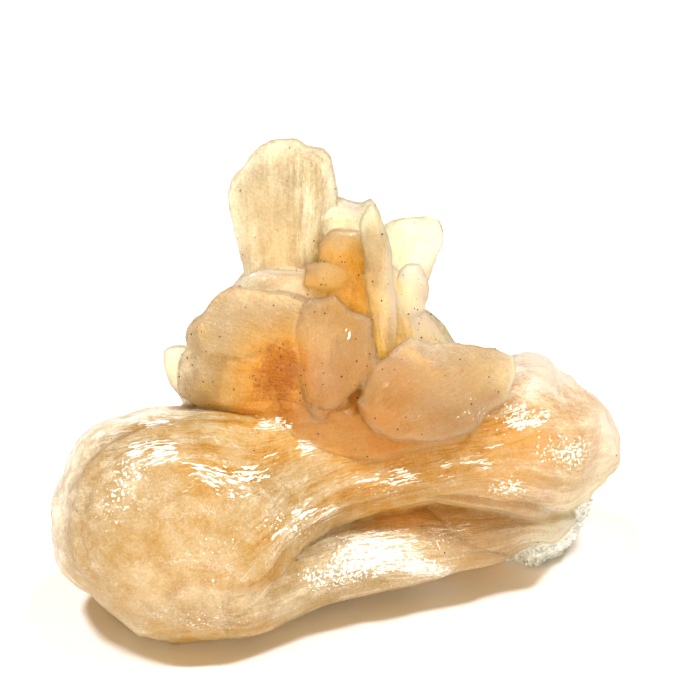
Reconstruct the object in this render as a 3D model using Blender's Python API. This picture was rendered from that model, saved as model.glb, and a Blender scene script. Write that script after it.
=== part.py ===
"""Stilbite specimen: a bow-tie sheaf of peach crystals with a crown of blades on its back.

The sheaf lies along X, its left end nearer the front. All the crystals are grown together, so
they are one solid. A remnant of the host rock under the right end is the second piece.
Shapes are laid out in millimetres as they are seen from the front, across and up from the
middle of that view, and set back along the line of sight to their own depth.
"""
import bpy
import bmesh
import random
from math import cos, sin, pi, radians
from mathutils import Matrix, Vector

MM = 0.001

# The view that the outlines are laid out in
VIEW_ELEVATION = radians(22)
VIEW_DISTANCE = 413
VIEW_MIDDLE = Vector((3, 0, 59.6))
# Moves the finished specimen so that the middle of its base is the origin
CENTRING = Vector((-0.9, -5.5, 0))

# Real sizes, mm
GAP_TO_ROCK = 0.45
RIDGE_DEPTH = 0.06
BLADE_EDGE = 0.4
BLADE_INSET = 0.84
TERRACE_INSET = 0.55
TERRACE_STEP = 0.9
TABLE_DEPTH = 40
AROUND = 26
LAYER_AROUND = 18
SEED = 7

# Sheaf sections: across, top, bottom, depth of the middle, half the depth
LEFT_LOBE = (
    (-63.5, -36.0, -36.0, 1, 0),
    (-63.0, -31.0, -41.5, 1, 7),
    (-61.5, -27.5, -47.0, 1, 12),
    (-58.5, -21.5, -50.0, 1, 17),
    (-54.5, -16.5, -53.0, 2, 20),
    (-50.0, -14.5, -57.0, 2, 22),
    (-43.5, -12.5, -61.0, 2, 23.5),
    (-36.0, -12.0, -62.0, 3, 24),
    (-28.5, -11.5, -62.0, 4, 23.5),
    (-22.5, -12.0, -60.5, 5, 22),
    (-17.5, -12.5, -54.5, 6, 20.5),
    (-12.5, -13.0, -46.0, 8, 19),
    (-6.5, -13.5, -40.0, 10, 18),
    (0.0, -14.0, -36.5, 11, 17),
    (6.5, -15.0, -34.5, 13, 17),
    (12.5, -16.0, -33.0, 14, 17),
    (19.0, -17.0, -32.5, 16, 16),
    (25.5, -19.0, -33.0, 18, 13),
    (29.5, -24.0, -32.0, 20, 8),
    (32.0, -27.5, -27.5, 21, 0),
)
RIGHT_LOBE = (
    (-6.5, -25.0, -25.0, 10, 0),
    (-4.0, -19.0, -31.0, 10, 8),
    (2.0, -15.0, -30.5, 12, 14),
    (9.5, -12.5, -29.5, 15, 18),
    (17.0, -10.0, -29.5, 18, 21),
    (23.5, -7.0, -31.0, 20, 23),
    (29.5, -3.5, -32.5, 22, 24.5),
    (35.0, -0.5, -34.0, 25, 25),
    (40.5, -0.5, -35.5, 27, 24),
    (44.5, -4.5, -35.5, 28, 22),
    (49.0, -8.5, -33.0, 29, 19),
    (52.0, -10.5, -29.5, 30, 15),
    (54.5, -13.0, -27.0, 30, 11),
    (56.5, -17.0, -25.0, 31, 6.5),
    (57.5, -21.0, -21.0, 31, 0),
)
FRONT_LAYER = (
    (-26.0, -52.0, -52.0, 4, 0),
    (-24.0, -44.5, -60.0, 4, 10),
    (-19.0, -41.5, -60.5, 6, 15),
    (-12.5, -38.0, -57.0, 8, 15),
    (-6.5, -36.0, -54.0, 11, 15),
    (0.0, -33.5, -52.5, 14, 15),
    (6.5, -32.0, -51.0, 17, 15),
    (12.5, -31.5, -50.0, 19, 15),
    (19.0, -32.0, -49.0, 21, 13),
    (22.5, -34.0, -48.0, 23, 9),
    (24.5, -42.0, -42.0, 24, 0),
)
RIGHT_LAYER = (
    (4.5, -39.0, -39.0, 20, 0),
    (8.0, -33.5, -44.0, 20, 9),
    (15.0, -31.0, -46.5, 22, 13),
    (21.0, -30.0, -47.0, 24, 16),
    (27.5, -30.5, -46.5, 26, 17),
    (34.0, -31.0, -44.0, 27, 16),
    (39.5, -32.0, -41.0, 28, 14),
    (44.0, -33.0, -39.5, 29, 10),
    (47.0, -36.5, -36.5, 30, 0),
)
THIN_LEDGE = (
    (13.0, -30.5, -30.5, 3, 0),
    (16.0, -29.0, -32.0, 4, 6),
    (24.0, -29.5, -33.5, 8, 9),
    (33.0, -31.5, -35.5, 13, 10),
    (40.0, -33.0, -36.5, 18, 9),
    (44.5, -35.5, -35.5, 21, 0),
)

# The third lobe, which fans to the back: along, height of its middle, half width, half height
BACK_LOBE_ROOT = Vector((2, 10, 0))
BACK_LOBE_TURN = radians(96)
BACK_LOBE = (
    (-9, 31, 0, 0),
    (-6, 31, 9, 8),
    (3, 29, 14, 13),
    (12, 25.5, 18, 17),
    (20, 21, 21, 21),
    (27, 19, 20.5, 21),
    (32, 18, 17, 17),
    (35, 18, 11, 11),
    (36, 18, 0, 0),
)

# Crown blades: outline, depth at its middle, turn to the right, lean back, thickness
TALL = ((-21, 8), (-22.5, 16.5), (-24, 22.5), (-25.5, 28.5), (-26, 32.5), (-25.5, 35.5), (-22.5, 39.5),
        (-18.5, 44), (-15.5, 45), (-11, 45), (-9, 43.5), (-6.5, 43), (-4.5, 42), (-3.5, 39.5),
        (-2.5, 32.5), (-4, 22), (-6, 8))
ROUGH = ((-7, 17), (-6.5, 30), (-3.5, 32.5), (-1, 32), (1, 31.5), (2.5, 31), (4, 32), (6, 31), (7, 26.5),
         (6.5, 15))
SLENDER = ((5.5, -3), (4.5, 7), (3.5, 14), (3, 20), (2, 25.5), (2.5, 28.5), (4, 31), (5.5, 30.5), (7, 27),
           (8.5, 23), (9, 17), (10, 8.5), (10, -3))
LEMON = ((5, 8), (6.5, 26), (10.5, 28), (13.5, 28.5), (16.5, 28), (19, 27.5), (20, 25), (20, 22.5),
         (18.5, 20), (17, 16), (15, 8))
WHITE = ((9, -4), (9.5, 10.5), (10, 16), (11, 17.5), (13, 18.5), (15, 18), (16.5, 15.5), (16.5, 12.5),
         (16, 8.5), (15, -4))
WEDGE = ((8, 0), (13, 9), (15.5, 9), (17.5, 6.5), (19.5, 4), (21.5, 1.5), (22.5, -5), (10.5, -6))
RIGHT = ((4.5, -3.5), (9, -0.5), (12.5, 2.5), (16, 1.5), (25, 1), (30, 0.5), (34.5, -1.5), (35, -5),
         (34, -8.5), (33, -11), (29, -13.5), (28, -15.5), (25.5, -17.5), (19, -19.5), (14, -19.5),
         (8.5, -19), (4, -16.5), (1.5, -12))
LEFT = ((-9, 10), (-12.5, 12), (-17.5, 12.5), (-25.5, 13.5), (-28, 12.5), (-31.5, 7.5), (-34.5, 5),
        (-34.5, 1), (-36, -1.5), (-36.5, -8.5), (-35.5, -10), (-32.5, -11.5), (-23.5, -13),
        (-12.5, -13.5), (-7, -12))
SMALL_LEFT = ((-30, 0), (-35.5, 1), (-38, 1), (-39.5, 0), (-39.5, -3), (-38, -7.5), (-36, -10),
              (-34, -14), (-28, -14))
CENTRE = ((-10.5, 9.5), (-7.5, 11), (-3, 11.5), (0, 8.5), (4.5, 7), (5, 3), (6, -1.5), (6.5, -3.5),
          (4, -6), (0.5, -9.5), (-2.5, -12), (-5, -13), (-9.5, -11), (-11.5, -4), (-12.5, 4))
TIP = ((-11, -6), (-5, -8), (-4, -13), (-5, -16), (-7, -15.5), (-9.5, -12))
BAR = ((-10, 13.5), (-9.5, 18.5), (-6.5, 19), (-2, 19.5), (0, 18), (0.5, 14.5), (-1, 12.5), (-6, 12))
SHELF = ((-28, 6), (-27.5, 11.5), (-25, 14), (-22.5, 15.5), (-18.5, 17), (-10.5, 16.5), (-2, 14), (2, 4))
ORANGE = ((-7, 2), (-6.5, 22), (-4, 25.5), (2.5, 25), (6, 17), (9, 2))
CORE = ((-28, 8), (-18, 12), (-6, 20), (4, 21), (12, 16), (17, 6), (24, -4), (28, -14), (18, -24),
        (-26, -24), (-33, -14))
SEEN_BLADES = (
    (TALL, -4.5, -8, 6, 8),
    (ROUGH, -2, 5, 4, 9),
    (SLENDER, -9, 12, 6, 5),
    (LEMON, 4, -10, 0, 5),
    (WHITE, 0, 14, 2, 4.5),
    (WEDGE, 3, 10, 5, 7),
    (RIGHT, -5.5, 16, 24, 9.5),
    (LEFT, -4.5, -14, 8, 9.5),
    (SMALL_LEFT, 4, -20, 0, 5),
    (CENTRE, -9.5, 4, 16, 7),
    (TIP, -7.5, 20, 10, 4),
    (BAR, -9.5, 0, 4, 5),
    (SHELF, -6, 0, 26, 7),
    (ORANGE, -4.5, 10, 10, 10),
    (CORE, 6, 0, 10, 20),
)

# Blades on the far side: middle x, y, z, turn, lean, roll, height, width, thickness
FAR_BLADES = (
    (-14, 13, 62, 196, 12, 14, 32, 22, 7),
    (5, 15, 63, 172, 6, -8, 34, 20, 6.5),
    (19, 14, 55, 150, 22, -34, 30, 18, 6.5),
    (-27, 9, 54, 222, 20, 30, 26, 18, 6),
    (-3, 20, 54, 184, 30, 4, 26, 24, 7),
)
# A blade's shape as shares of its width and height
BLADE_SHAPE = ((-0.34, -0.5), (-0.5, 0.08), (-0.44, 0.3), (-0.2, 0.5), (0.22, 0.46), (0.46, 0.24),
               (0.5, 0.02), (0.32, -0.5))

# Blade tips that stand proud of each lobe: the rings they start from and the share of a turn
TIP_ROWS_LEFT = (2, 4, 6)
TIP_ROWS_RIGHT = (9, 11)
TIPS_PER_ROW = 5
TIP_ROWS_BACK = (4, 6)
TIP_ARC_LEFT = 0.9
TIP_ARC_RIGHT = 0.5
TIP_ARC_BACK = 1
TIP_LENGTH = 15
TIP_WIDTH = 11
TIP_THICKNESS = 6
TIP_PROUD = 0.5
TIP_SHAPE = ((-0.35, -0.5), (-0.5, 0.2), (-0.22, 0.5), (0.2, 0.5), (0.5, 0.16), (0.35, -0.5))

# Host rock: middle and half sizes
ROCK_MIDDLE = Vector((46.5, 22, 11))
ROCK_HALF = Vector((11.5, 14.5, 15))
ROCK_SLANT = 0.5
ROCK_ROUGHNESS = 1.4
ROCK_DETAIL = 3

PEACH = (0.86, 0.50, 0.22, 1)
GREY_GREEN = (0.50, 0.52, 0.46, 1)

RIGHTWARD = Vector((1, 0, 0))
UPWARD = Vector((0, sin(VIEW_ELEVATION), cos(VIEW_ELEVATION)))
INWARD = Vector((0, cos(VIEW_ELEVATION), -sin(VIEW_ELEVATION)))
EYE = VIEW_MIDDLE - VIEW_DISTANCE * INWARD


def sight_line(across, up):
    """Direction from the eye through a place in the view, as long as the view's distance."""
    return across * RIGHTWARD + up * UPWARD + VIEW_DISTANCE * INWARD


def place_at_depth(across, up, depth):
    return EYE + sight_line(across, up) * (1 + depth / VIEW_DISTANCE)


def place_on_plane(across, up, point, normal):
    ray = sight_line(across, up)
    return EYE + ray * ((point - EYE).dot(normal) / ray.dot(normal))


def facing(turn, lean):
    """Normal of a face that looks forward, turned to the right and leaned back, in degrees."""
    turned = radians(turn)
    leaned = radians(lean)
    return Vector((sin(turned) * cos(leaned), -cos(turned) * cos(leaned), sin(leaned)))


def rounded(value, squareness):
    return abs(value) ** (2 / squareness) * (1 if value >= 0 else -1)


def clear_scene():
    for old in list(bpy.data.objects):
        bpy.data.objects.remove(old)


def new_collection(name):
    group = bpy.data.collections.new(name)
    bpy.context.scene.collection.children.link(group)
    return group


def plain_material(name, colour, roughness):
    material = bpy.data.materials.new(name)
    material.use_nodes = True
    shader = material.node_tree.nodes["Principled BSDF"]
    shader.inputs["Base Color"].default_value = colour
    shader.inputs["Roughness"].default_value = roughness
    shader.inputs["Metallic"].default_value = 0
    return material


def solid_from_rings(name, rings, group, material=None):
    """Skins a list of rings of points, in millimetres; a ring of one point closes an end."""
    mesh_data = bmesh.new()
    loops = [[mesh_data.verts.new((p + CENTRING) * MM) for p in ring] for ring in rings]
    for near, far in zip(loops, loops[1:]):
        count = max(len(near), len(far))
        for j in range(count):
            k = (j + 1) % count
            if len(near) == 1:
                mesh_data.faces.new((near[0], far[k], far[j]))
            elif len(far) == 1:
                mesh_data.faces.new((near[j], near[k], far[0]))
            else:
                mesh_data.faces.new((near[j], near[k], far[k], far[j]))
    for cap in (loops[0], loops[-1]):
        if len(cap) > 2:
            mesh_data.faces.new(cap)
    bmesh.ops.triangulate(mesh_data, faces=list(mesh_data.faces))
    bmesh.ops.recalc_face_normals(mesh_data, faces=list(mesh_data.faces))
    mesh = bpy.data.meshes.new(name)
    mesh_data.to_mesh(mesh)
    mesh_data.free()
    solid = bpy.data.objects.new(name, mesh)
    if material:
        mesh.materials.append(material)
    group.objects.link(solid)
    return solid


def as_guide(solid):
    solid.hide_render = True
    solid.display_type = 'WIRE'
    return solid


def sheaf_rings(rows, ridges, squareness=2.3, swell=0.0):
    """Rings of a bundle of crystals whose long ridges keep their place from end to end."""
    rings = []
    for across, top, bottom, depth, half_depth in rows:
        middle = (top + bottom) / 2
        half_height = (top - bottom) / 2
        if half_depth == 0:
            outward = 2 * swell if rings else -2 * swell
            rings.append([place_at_depth(across + outward, middle, depth)])
            continue
        ring = []
        for j, ridge in enumerate(ridges):
            angle = 2 * pi * j / len(ridges)
            up = middle + (half_height * ridge + swell) * rounded(sin(angle), squareness)
            back = depth - (half_depth * ridge + swell) * rounded(cos(angle), squareness)
            ring.append(place_at_depth(across, up, back))
        rings.append(ring)
    return rings


def lobe_rings(root, turn, rows, ridges):
    """Rings of a lobe that points level in any direction."""
    ahead = Vector((cos(turn), sin(turn), 0))
    side = Vector((sin(turn), -cos(turn), 0))
    rings = []
    for along, height, half_width, half_height in rows:
        middle = root + ahead * along + Vector((0, 0, height))
        if half_width == 0:
            rings.append([middle])
            continue
        ring = []
        for j, ridge in enumerate(ridges):
            angle = 2 * pi * j / len(ridges)
            ring.append(middle + side * (half_width * ridge * cos(angle))
                        + Vector((0, 0, half_height * ridge * sin(angle))))
        rings.append(ring)
    return rings


def random_ridges(maker, count=AROUND):
    """Every other line of the surface is let in, so that its long facets meet in ridges."""
    return [1 + RIDGE_DEPTH * (0.5 - (j % 2) * 0.5 - 0.5 * maker.random()) for j in range(count)]


def blade_rings(outline, normal, thickness):
    """A tabular crystal: thin at its rim, with flat faces and a low growth terrace on the front."""
    middle = sum(outline, Vector()) / len(outline)
    levels = (
        (BLADE_INSET, -0.5 * thickness),
        (1, -BLADE_EDGE * thickness / 2),
        (1, BLADE_EDGE * thickness / 2),
        (BLADE_INSET, 0.42 * thickness),
        (TERRACE_INSET + 0.06, 0.5 * thickness),
        (TERRACE_INSET, 0.5 * thickness + TERRACE_STEP),
    )
    return [[middle + (p - middle) * share + normal * rise for p in outline] for share, rise in levels]


def seen_blade(name, outline, depth, turn, lean, thickness, group):
    normal = facing(turn, lean)
    across = sum(p[0] for p in outline) / len(outline)
    up = sum(p[1] for p in outline) / len(outline)
    middle = place_at_depth(across, up, depth)
    points = [place_on_plane(p[0], p[1], middle, normal) for p in outline]
    return solid_from_rings(name, blade_rings(points, normal, thickness), group)


def far_blade(name, x, y, z, turn, lean, roll, height, width, thickness, group):
    normal = facing(turn, lean)
    level = normal.cross(Vector((0, 0, 1))).normalized()
    turned = Matrix.Rotation(radians(roll), 3, normal)
    side = turned @ level
    rise = side.cross(normal)
    points = [Vector((x, y, z)) + side * (a * width) + rise * (b * height) for a, b in BLADE_SHAPE]
    return solid_from_rings(name, blade_rings(points, normal, thickness), group)


def proud_tip(name, rings, row, share, direction, maker, group):
    """A small blade that lies along the sheaf, its outer face a little outside the surface."""
    ring = rings[row]
    count = len(ring)
    j = int(share * count) % count
    place = ring[j]
    along = ((rings[row + direction][j] - rings[row - direction][j])).normalized()
    around = (ring[(j + 1) % count] - ring[j - 1]).normalized()
    outward = along.cross(around).normalized()
    if outward.dot(place - sum(ring, Vector()) / count) < 0:
        outward.negate()
    lift = radians(maker.uniform(2, 7))
    along = along * cos(lift) + outward * sin(lift)
    normal = Matrix.Rotation(radians(maker.uniform(-10, 10)), 3, along) @ outward
    normal = (normal - along * normal.dot(along)).normalized()
    side = along.cross(normal)
    size = maker.uniform(0.8, 1.2)
    half = TIP_THICKNESS * size / 2
    centre = place + outward * (TIP_PROUD - half)
    points = [centre + (side * (a * TIP_WIDTH) + along * (b * TIP_LENGTH)) * size for a, b in TIP_SHAPE]
    levels = ((0.72, -half), (1, -half * 0.3), (1, half * 0.3), (0.72, half))
    layers = [[centre + (p - centre) * s + normal * rise for p in points] for s, rise in levels]
    return solid_from_rings(name, layers, group)


def make_growths(maker, group):
    """Every crystal that is joined to the left lobe; gives back the rings of the other lobes."""
    right = sheaf_rings(RIGHT_LOBE, random_ridges(maker))
    solid_from_rings("right_lobe", right, group)
    for name, rows in (("front_layer", FRONT_LAYER), ("right_layer", RIGHT_LAYER),
                       ("thin_ledge", THIN_LEDGE)):
        solid_from_rings(name, sheaf_rings(rows, random_ridges(maker, LAYER_AROUND)), group)
    back = lobe_rings(BACK_LOBE_ROOT, BACK_LOBE_TURN, BACK_LOBE, random_ridges(maker))
    solid_from_rings("back_lobe", back, group)
    for index, blade in enumerate(SEEN_BLADES):
        seen_blade(f"seen_blade_{index}", *blade, group)
    for index, blade in enumerate(FAR_BLADES):
        far_blade(f"far_blade_{index}", *blade, group)
    return right, back


def make_tips(left, right, back, maker, group):
    lobes = (("left", left, TIP_ROWS_LEFT, -1, TIP_ARC_LEFT),
             ("right", right, TIP_ROWS_RIGHT, 1, TIP_ARC_RIGHT),
             ("back", back, TIP_ROWS_BACK, 1, TIP_ARC_BACK))
    for lobe, rings, rows, direction, arc in lobes:
        for row in rows:
            for step in range(TIPS_PER_ROW):
                share = arc * (step + maker.random()) / TIPS_PER_ROW
                name = f"{lobe}_tip_{row}_{step}"
                proud_tip(name, rings, row, share, direction, maker, group)


def make_table(group):
    """A block whose top is the level that the specimen is ground flat to."""
    bpy.ops.mesh.primitive_cube_add(size=1)
    table = bpy.context.object
    table.name = "flat_base_cutter"
    table.data.transform(Matrix.Diagonal((0.3, 0.3, TABLE_DEPTH * MM, 1)))
    table.data.transform(Matrix.Translation((0, 0, -TABLE_DEPTH * MM / 2)))
    for home in list(table.users_collection):
        home.objects.unlink(table)
    group.objects.link(table)
    return as_guide(table)


def add_boolean(solid, name, operation, operand):
    cut = solid.modifiers.new(name, 'BOOLEAN')
    cut.operation = operation
    cut.solver = 'EXACT'
    if isinstance(operand, bpy.types.Collection):
        cut.operand_type = 'COLLECTION'
        cut.collection = operand
    else:
        cut.object = operand
    return cut


def make_rock(maker, group):
    """The host rock: a rough lump, cut clear of the crystals that grew over it."""
    bpy.ops.mesh.primitive_ico_sphere_add(subdivisions=ROCK_DETAIL, radius=1)
    rock = bpy.context.object
    rock.name = "host_rock"
    rock.data.name = "host_rock"
    for vertex in rock.data.vertices:
        rough = 1 + ROCK_ROUGHNESS / ROCK_HALF.x * (maker.random() - 0.5)
        place = Vector(a * b for a, b in zip(vertex.co, ROCK_HALF)) * rough
        place.x += place.z * ROCK_SLANT
        vertex.co = (place + ROCK_MIDDLE + CENTRING) * MM
    for home in list(rock.users_collection):
        home.objects.unlink(rock)
    group.objects.link(rock)
    rock.data.materials.append(plain_material("host_rock", GREY_GREEN, 0.95))
    return rock


def main():
    clear_scene()
    maker = random.Random(SEED)
    parts = new_collection("stilbite_specimen")
    growths = new_collection("growths")
    cutters = new_collection("cutters")
    peach = plain_material("stilbite", PEACH, 0.35)

    left = sheaf_rings(LEFT_LOBE, random_ridges(maker))
    crystals = solid_from_rings("stilbite_crystals", left, parts, peach)
    right, back = make_growths(maker, growths)
    make_tips(left, right, back, maker, growths)
    for growth in growths.objects:
        as_guide(growth)
    table = make_table(cutters)
    add_boolean(crystals, "grow together", 'UNION', growths)
    add_boolean(crystals, "flat base", 'DIFFERENCE', table)

    rock = make_rock(maker, parts)
    for name, rows in (("right_lobe_clearance", RIGHT_LOBE), ("right_layer_clearance", RIGHT_LAYER),
                       ("thin_ledge_clearance", THIN_LEDGE)):
        clearance = sheaf_rings(rows, [1 + RIDGE_DEPTH / 2] * AROUND, swell=GAP_TO_ROCK)
        add_boolean(rock, name, 'DIFFERENCE', as_guide(solid_from_rings(name, clearance, cutters)))
    add_boolean(rock, "flat base", 'DIFFERENCE', table)


main()
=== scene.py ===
# %% [markdown]
# # A stilbite specimen
# The real thing is a bow-tie sheaf of peach stilbite crystals, lying on its side, with a crown of
# broad blades on its back and a scrap of host rock under its right end. The packed model holds its
# plain solids. This script gives them their grown surface: fibres, terraces, blade faces, specks,
# and a waxy, translucent finish.

# %% Load the packed model
import bpy
import numpy as np
from collections import namedtuple
from math import cos, sin, pi, radians
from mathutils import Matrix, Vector
from mathutils.kdtree import KDTree


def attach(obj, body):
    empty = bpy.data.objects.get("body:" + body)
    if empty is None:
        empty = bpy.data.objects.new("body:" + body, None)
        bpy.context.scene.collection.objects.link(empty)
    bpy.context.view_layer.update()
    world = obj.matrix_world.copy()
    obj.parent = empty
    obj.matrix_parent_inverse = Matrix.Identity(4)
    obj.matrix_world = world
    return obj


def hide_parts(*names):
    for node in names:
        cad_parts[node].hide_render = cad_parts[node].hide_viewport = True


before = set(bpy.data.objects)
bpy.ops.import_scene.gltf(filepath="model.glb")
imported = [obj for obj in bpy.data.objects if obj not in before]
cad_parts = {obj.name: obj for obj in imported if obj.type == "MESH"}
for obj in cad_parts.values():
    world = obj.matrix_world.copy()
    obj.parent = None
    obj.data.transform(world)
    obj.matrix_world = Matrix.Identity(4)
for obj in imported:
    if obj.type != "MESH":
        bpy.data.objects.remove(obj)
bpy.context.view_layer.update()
MM = 0.001
SEED = 11
print("pieces in the frame:", sorted(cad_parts))

# %% [markdown]
# ## The view the shapes are laid out in
# A natural cluster has no plan to measure, so its outlines are laid out as they are seen from the
# front: millimetres across and up from the middle of that view, then set back along the line of
# sight to their depth. Laying a blade out by its corners in space would work too, but its outline
# would be hard to judge. The same rule placed the solids, so the pieces fall on them.

# %% Places in the view
VIEW_ELEVATION = radians(22)
VIEW_DISTANCE = 413.0
VIEW_MIDDLE = np.array((3.0, 0.0, 59.6))
CENTRING = np.array((-0.9, -5.5, 0.0))
RIGHTWARD = np.array((1.0, 0.0, 0.0))
VERTICAL = np.array((0.0, 0.0, 1.0))
UPWARD = np.array((0.0, sin(VIEW_ELEVATION), cos(VIEW_ELEVATION)))
INWARD = np.array((0.0, cos(VIEW_ELEVATION), -sin(VIEW_ELEVATION)))
EYE = VIEW_MIDDLE + CENTRING - VIEW_DISTANCE * INWARD


def at_depth(across, up, depth):
    """Places in space for places in the view, set back by their depth; takes arrays too."""
    across, up, depth = np.broadcast_arrays(across, up, depth)
    ray = across[..., None] * RIGHTWARD + up[..., None] * UPWARD + VIEW_DISTANCE * INWARD
    return EYE + ray * (1 + depth[..., None] / VIEW_DISTANCE)


def in_view(points):
    """Where points in space fall in the view: across and up, in millimetres."""
    ray = points - EYE
    reach = ray @ INWARD / VIEW_DISTANCE
    return np.stack((ray @ RIGHTWARD / reach, ray @ UPWARD / reach), axis=-1)


print("eye, mm:", EYE.round(1))

# %% [markdown]
# ## Noise, steps and other helpers
# Grown crystal surfaces are ruled by noise that is stretched along the fibres. A small lattice noise
# in numpy moves hundreds of thousands of points in a moment, where calling Blender's own noise once
# for each point would be slow.

# %% Noise on arrays of points
# Brings three layers of strength 1, 1/2 and 1/4 back to the range from -1 to 1
ROUGH_NOISE_SCALE = 1.75


def lattice(cells, seed):
    """A fixed random number from 0 to 1 for each corner of a grid."""
    mixed = cells.astype(np.int64) * np.array((73856093, 19349663, 83492791))
    mixed = (mixed[..., 0] ^ mixed[..., 1] ^ mixed[..., 2]) + seed * 2654435761
    mixed = (mixed ^ (mixed >> 13)) * 1274126177 & 0xFFFFFFFF
    mixed = (mixed ^ (mixed >> 16)) * 2246822519 & 0xFFFFFFFF
    return (mixed ^ (mixed >> 15) & 0xFFFFFF) % 65536 / 65535


def soft_noise(points, seed=0):
    """Smooth noise from -1 to 1 with lumps about one unit wide."""
    low = np.floor(points)
    part = points - low
    part = part * part * (3 - 2 * part)
    total = 0
    for corner in np.ndindex(2, 2, 2):
        weight = np.prod(np.where(corner, part, 1 - part), axis=-1)
        total = total + weight * lattice(low + corner, seed)
    return total * 2 - 1


def rough_noise(points, octaves=3, seed=0):
    """Layers of noise, each half as large and half as strong as the one before."""
    total = 0
    for octave in range(octaves):
        total = total + soft_noise(points * 2 ** octave + 17.3 * octave, seed + octave) / 2 ** octave
    return total / ROUGH_NOISE_SCALE


def smooth_step(value, low, high):
    """Rises softly from 0 at the low value to 1 at the high one."""
    share = np.clip((value - low) / (high - low), 0, 1)
    return share * share * (3 - 2 * share)


def terraced(height, step, sharpness=0.22):
    """Turns a slope into steps, as layered growth does."""
    level = np.floor(height / step)
    rise = smooth_step(height / step - level, 1 - sharpness, 1)
    return (level + rise) * step


test_places = np.array(((0.2, 0, 0), (5.5, 2, 1), (9, 9, 9)))
print("noise of three places:", soft_noise(test_places, SEED).round(2))

# %% [markdown]
# ## Making meshes and giving them attributes
# Each piece is a mesh of the exact points worked out for it, with its place in the mesh and its object at
# the origin. Layers of values ride on the points for the finish to read: `flow` runs along the fibres,
# `zones` holds how warm and thin each place is and how much painted glint and sparkle it has, and `marks`
# holds how fibrous, cloudy and clear it is and how dark its cracks and its painted shade lines are.
# Pictures wrapped round the crystals would do too, but they would stretch and tear on shapes as folded as
# these.

# %% Mesh and attribute helpers
LAYER_FIELDS = {'FLOAT': "value", 'FLOAT_COLOR': "color", 'FLOAT_VECTOR': "vector"}


def new_object(name, data):
    """An object at the origin, linked to the scene."""
    made = bpy.data.objects.new(name, data)
    bpy.context.scene.collection.objects.link(made)
    return made


def set_smooth(mesh, smooth):
    """Turns smooth shading on or off for a whole mesh."""
    mesh.polygons.foreach_set("use_smooth", np.full(len(mesh.polygons), smooth))


def set_layer(mesh, name, kind, values):
    """Stores a value, colour or direction for each point of a mesh."""
    layer = mesh.attributes.new(name, kind, 'POINT')
    layer.data.foreach_set(LAYER_FIELDS[kind], np.ascontiguousarray(values, dtype=np.float32).ravel())


def mesh_piece(name, points, faces):
    """A smooth object from points in millimetres and lists of their numbers."""
    mesh = bpy.data.meshes.new(name)
    mesh.from_pydata((points * MM).tolist(), [], faces)
    set_smooth(mesh, True)
    mesh.update()
    return new_object(name, mesh)


def tube_faces(rows, around, first_pole, last_pole):
    """Quads round a closed tube of rings, with a fan at each end that has a pole."""
    ring = np.arange(around)
    following = (ring + 1) % around
    faces = []
    for row in range(rows - 1):
        low, high = row * around, (row + 1) * around
        faces.append(np.stack((low + ring, low + following, high + following, high + ring), axis=1))
    quads = np.concatenate(faces).tolist()
    last = (rows - 1) * around
    fans = [(first_pole, int(after), int(here)) for here, after in zip(ring, following)]
    fans += [(last_pole, int(last + here), int(last + after)) for here, after in zip(ring, following)]
    return quads + fans


def grid_normals(grid):
    """Outward directions on a grid of points that is closed along its second axis."""
    along = np.gradient(grid, axis=0)
    around = np.roll(grid, -1, axis=1) - np.roll(grid, 1, axis=1)
    normal = np.cross(around, along)
    normal /= np.linalg.norm(normal, axis=-1, keepdims=True) + 1e-9
    outward = grid - grid.mean(axis=1, keepdims=True)
    sign = np.sign((normal * outward).sum(axis=(0, 1, 2)))
    return normal * sign


def read_points(mesh):
    """The points of a mesh, in metres, as rows."""
    places = np.empty(len(mesh.vertices) * 3, dtype=np.float32)
    mesh.vertices.foreach_get("co", places)
    return places.reshape(-1, 3).astype(float)


def count_triangles(mesh):
    return sum(len(polygon.vertices) - 2 for polygon in mesh.polygons)


def finish_piece(piece, material, nodes=("stilbite_crystals",)):
    """Gives a piece its finish and its place in the frame."""
    piece.data.materials.clear()
    piece.data.materials.append(material)
    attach(piece, "root")
    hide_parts(*nodes)
    print(f"{piece.name}: {count_triangles(piece.data)} triangles")


print("layers can hold:", sorted(LAYER_FIELDS))

# %% [markdown]
# ## Colour zones
# Thin rims and far tips of stilbite are pale lemon, thick roots are honey to orange, and cleavage faces
# flash white; those flashes are painted highlights, white laid into the colour. Some of the pale spots
# also paint the glow of light coming through thin crystals, and a warm spot paints shade low on the left
# lobe. Where each shows is a matter of this specimen, so the warm, pale and glinting places are short
# lists of spots laid out in the view, and each spot fades out over its own radius. Painting them by hand
# on the mesh would work too, but could not be read or changed in a script.

# %% Warm, pale and glinting places
# Across, up, radius, warmth added at the middle
WARM_SPOTS = (
    (-13.8, -3.5, 7, 0.5), (-20, -9, 8, 0.14), (9.6, -11, 9, 0.12), (-3, -8, 8, 0.12),
    (0, 13, 8, 0.22), (5, 20, 7, 0.16), (7, 8, 5, 0.03), (-21, -17, 12, 0.16), (8, -22, 14, 0.12),
    (14, -36, 10, 0.12), (30, -14, 10, 0.1), (-16, 20, 8, 0.06), (-50, -30, 16, -0.05),
    (-30, -29, 8, 0.10), (-40, -42, 6, 0.08), (-18, -39, 6, 0.1), (-46, -51, 5, 0.06),
    # This spot also paints shade low on the left lobe
    (-32, -56, 14, 0.13),
)
# Across, up, radius, warmth taken away at the middle; the spots on the thin blades and on the right lobe's
# upper rim partly paint the glow of light through them
PALE_SPOTS = (
    (14, 24, 9, 0.35), (14, 12, 7, 0.55), (38, -4, 9, 0.3), (-38, -4, 6, 0.25), (-1, 30, 6, 0.32),
    (-14, 40, 9, 0.12), (-26, 24, 8, 0.12), (52, -18, 9, 0.14), (40, -36, 9, 0.14),
    (17, 3, 5, 0.26), (43, -4, 7, 0.3), (55, -16, 5, 0.15), (-60, -32, 7, 0.12), (-52, -17, 9, 0.1),
)
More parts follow.
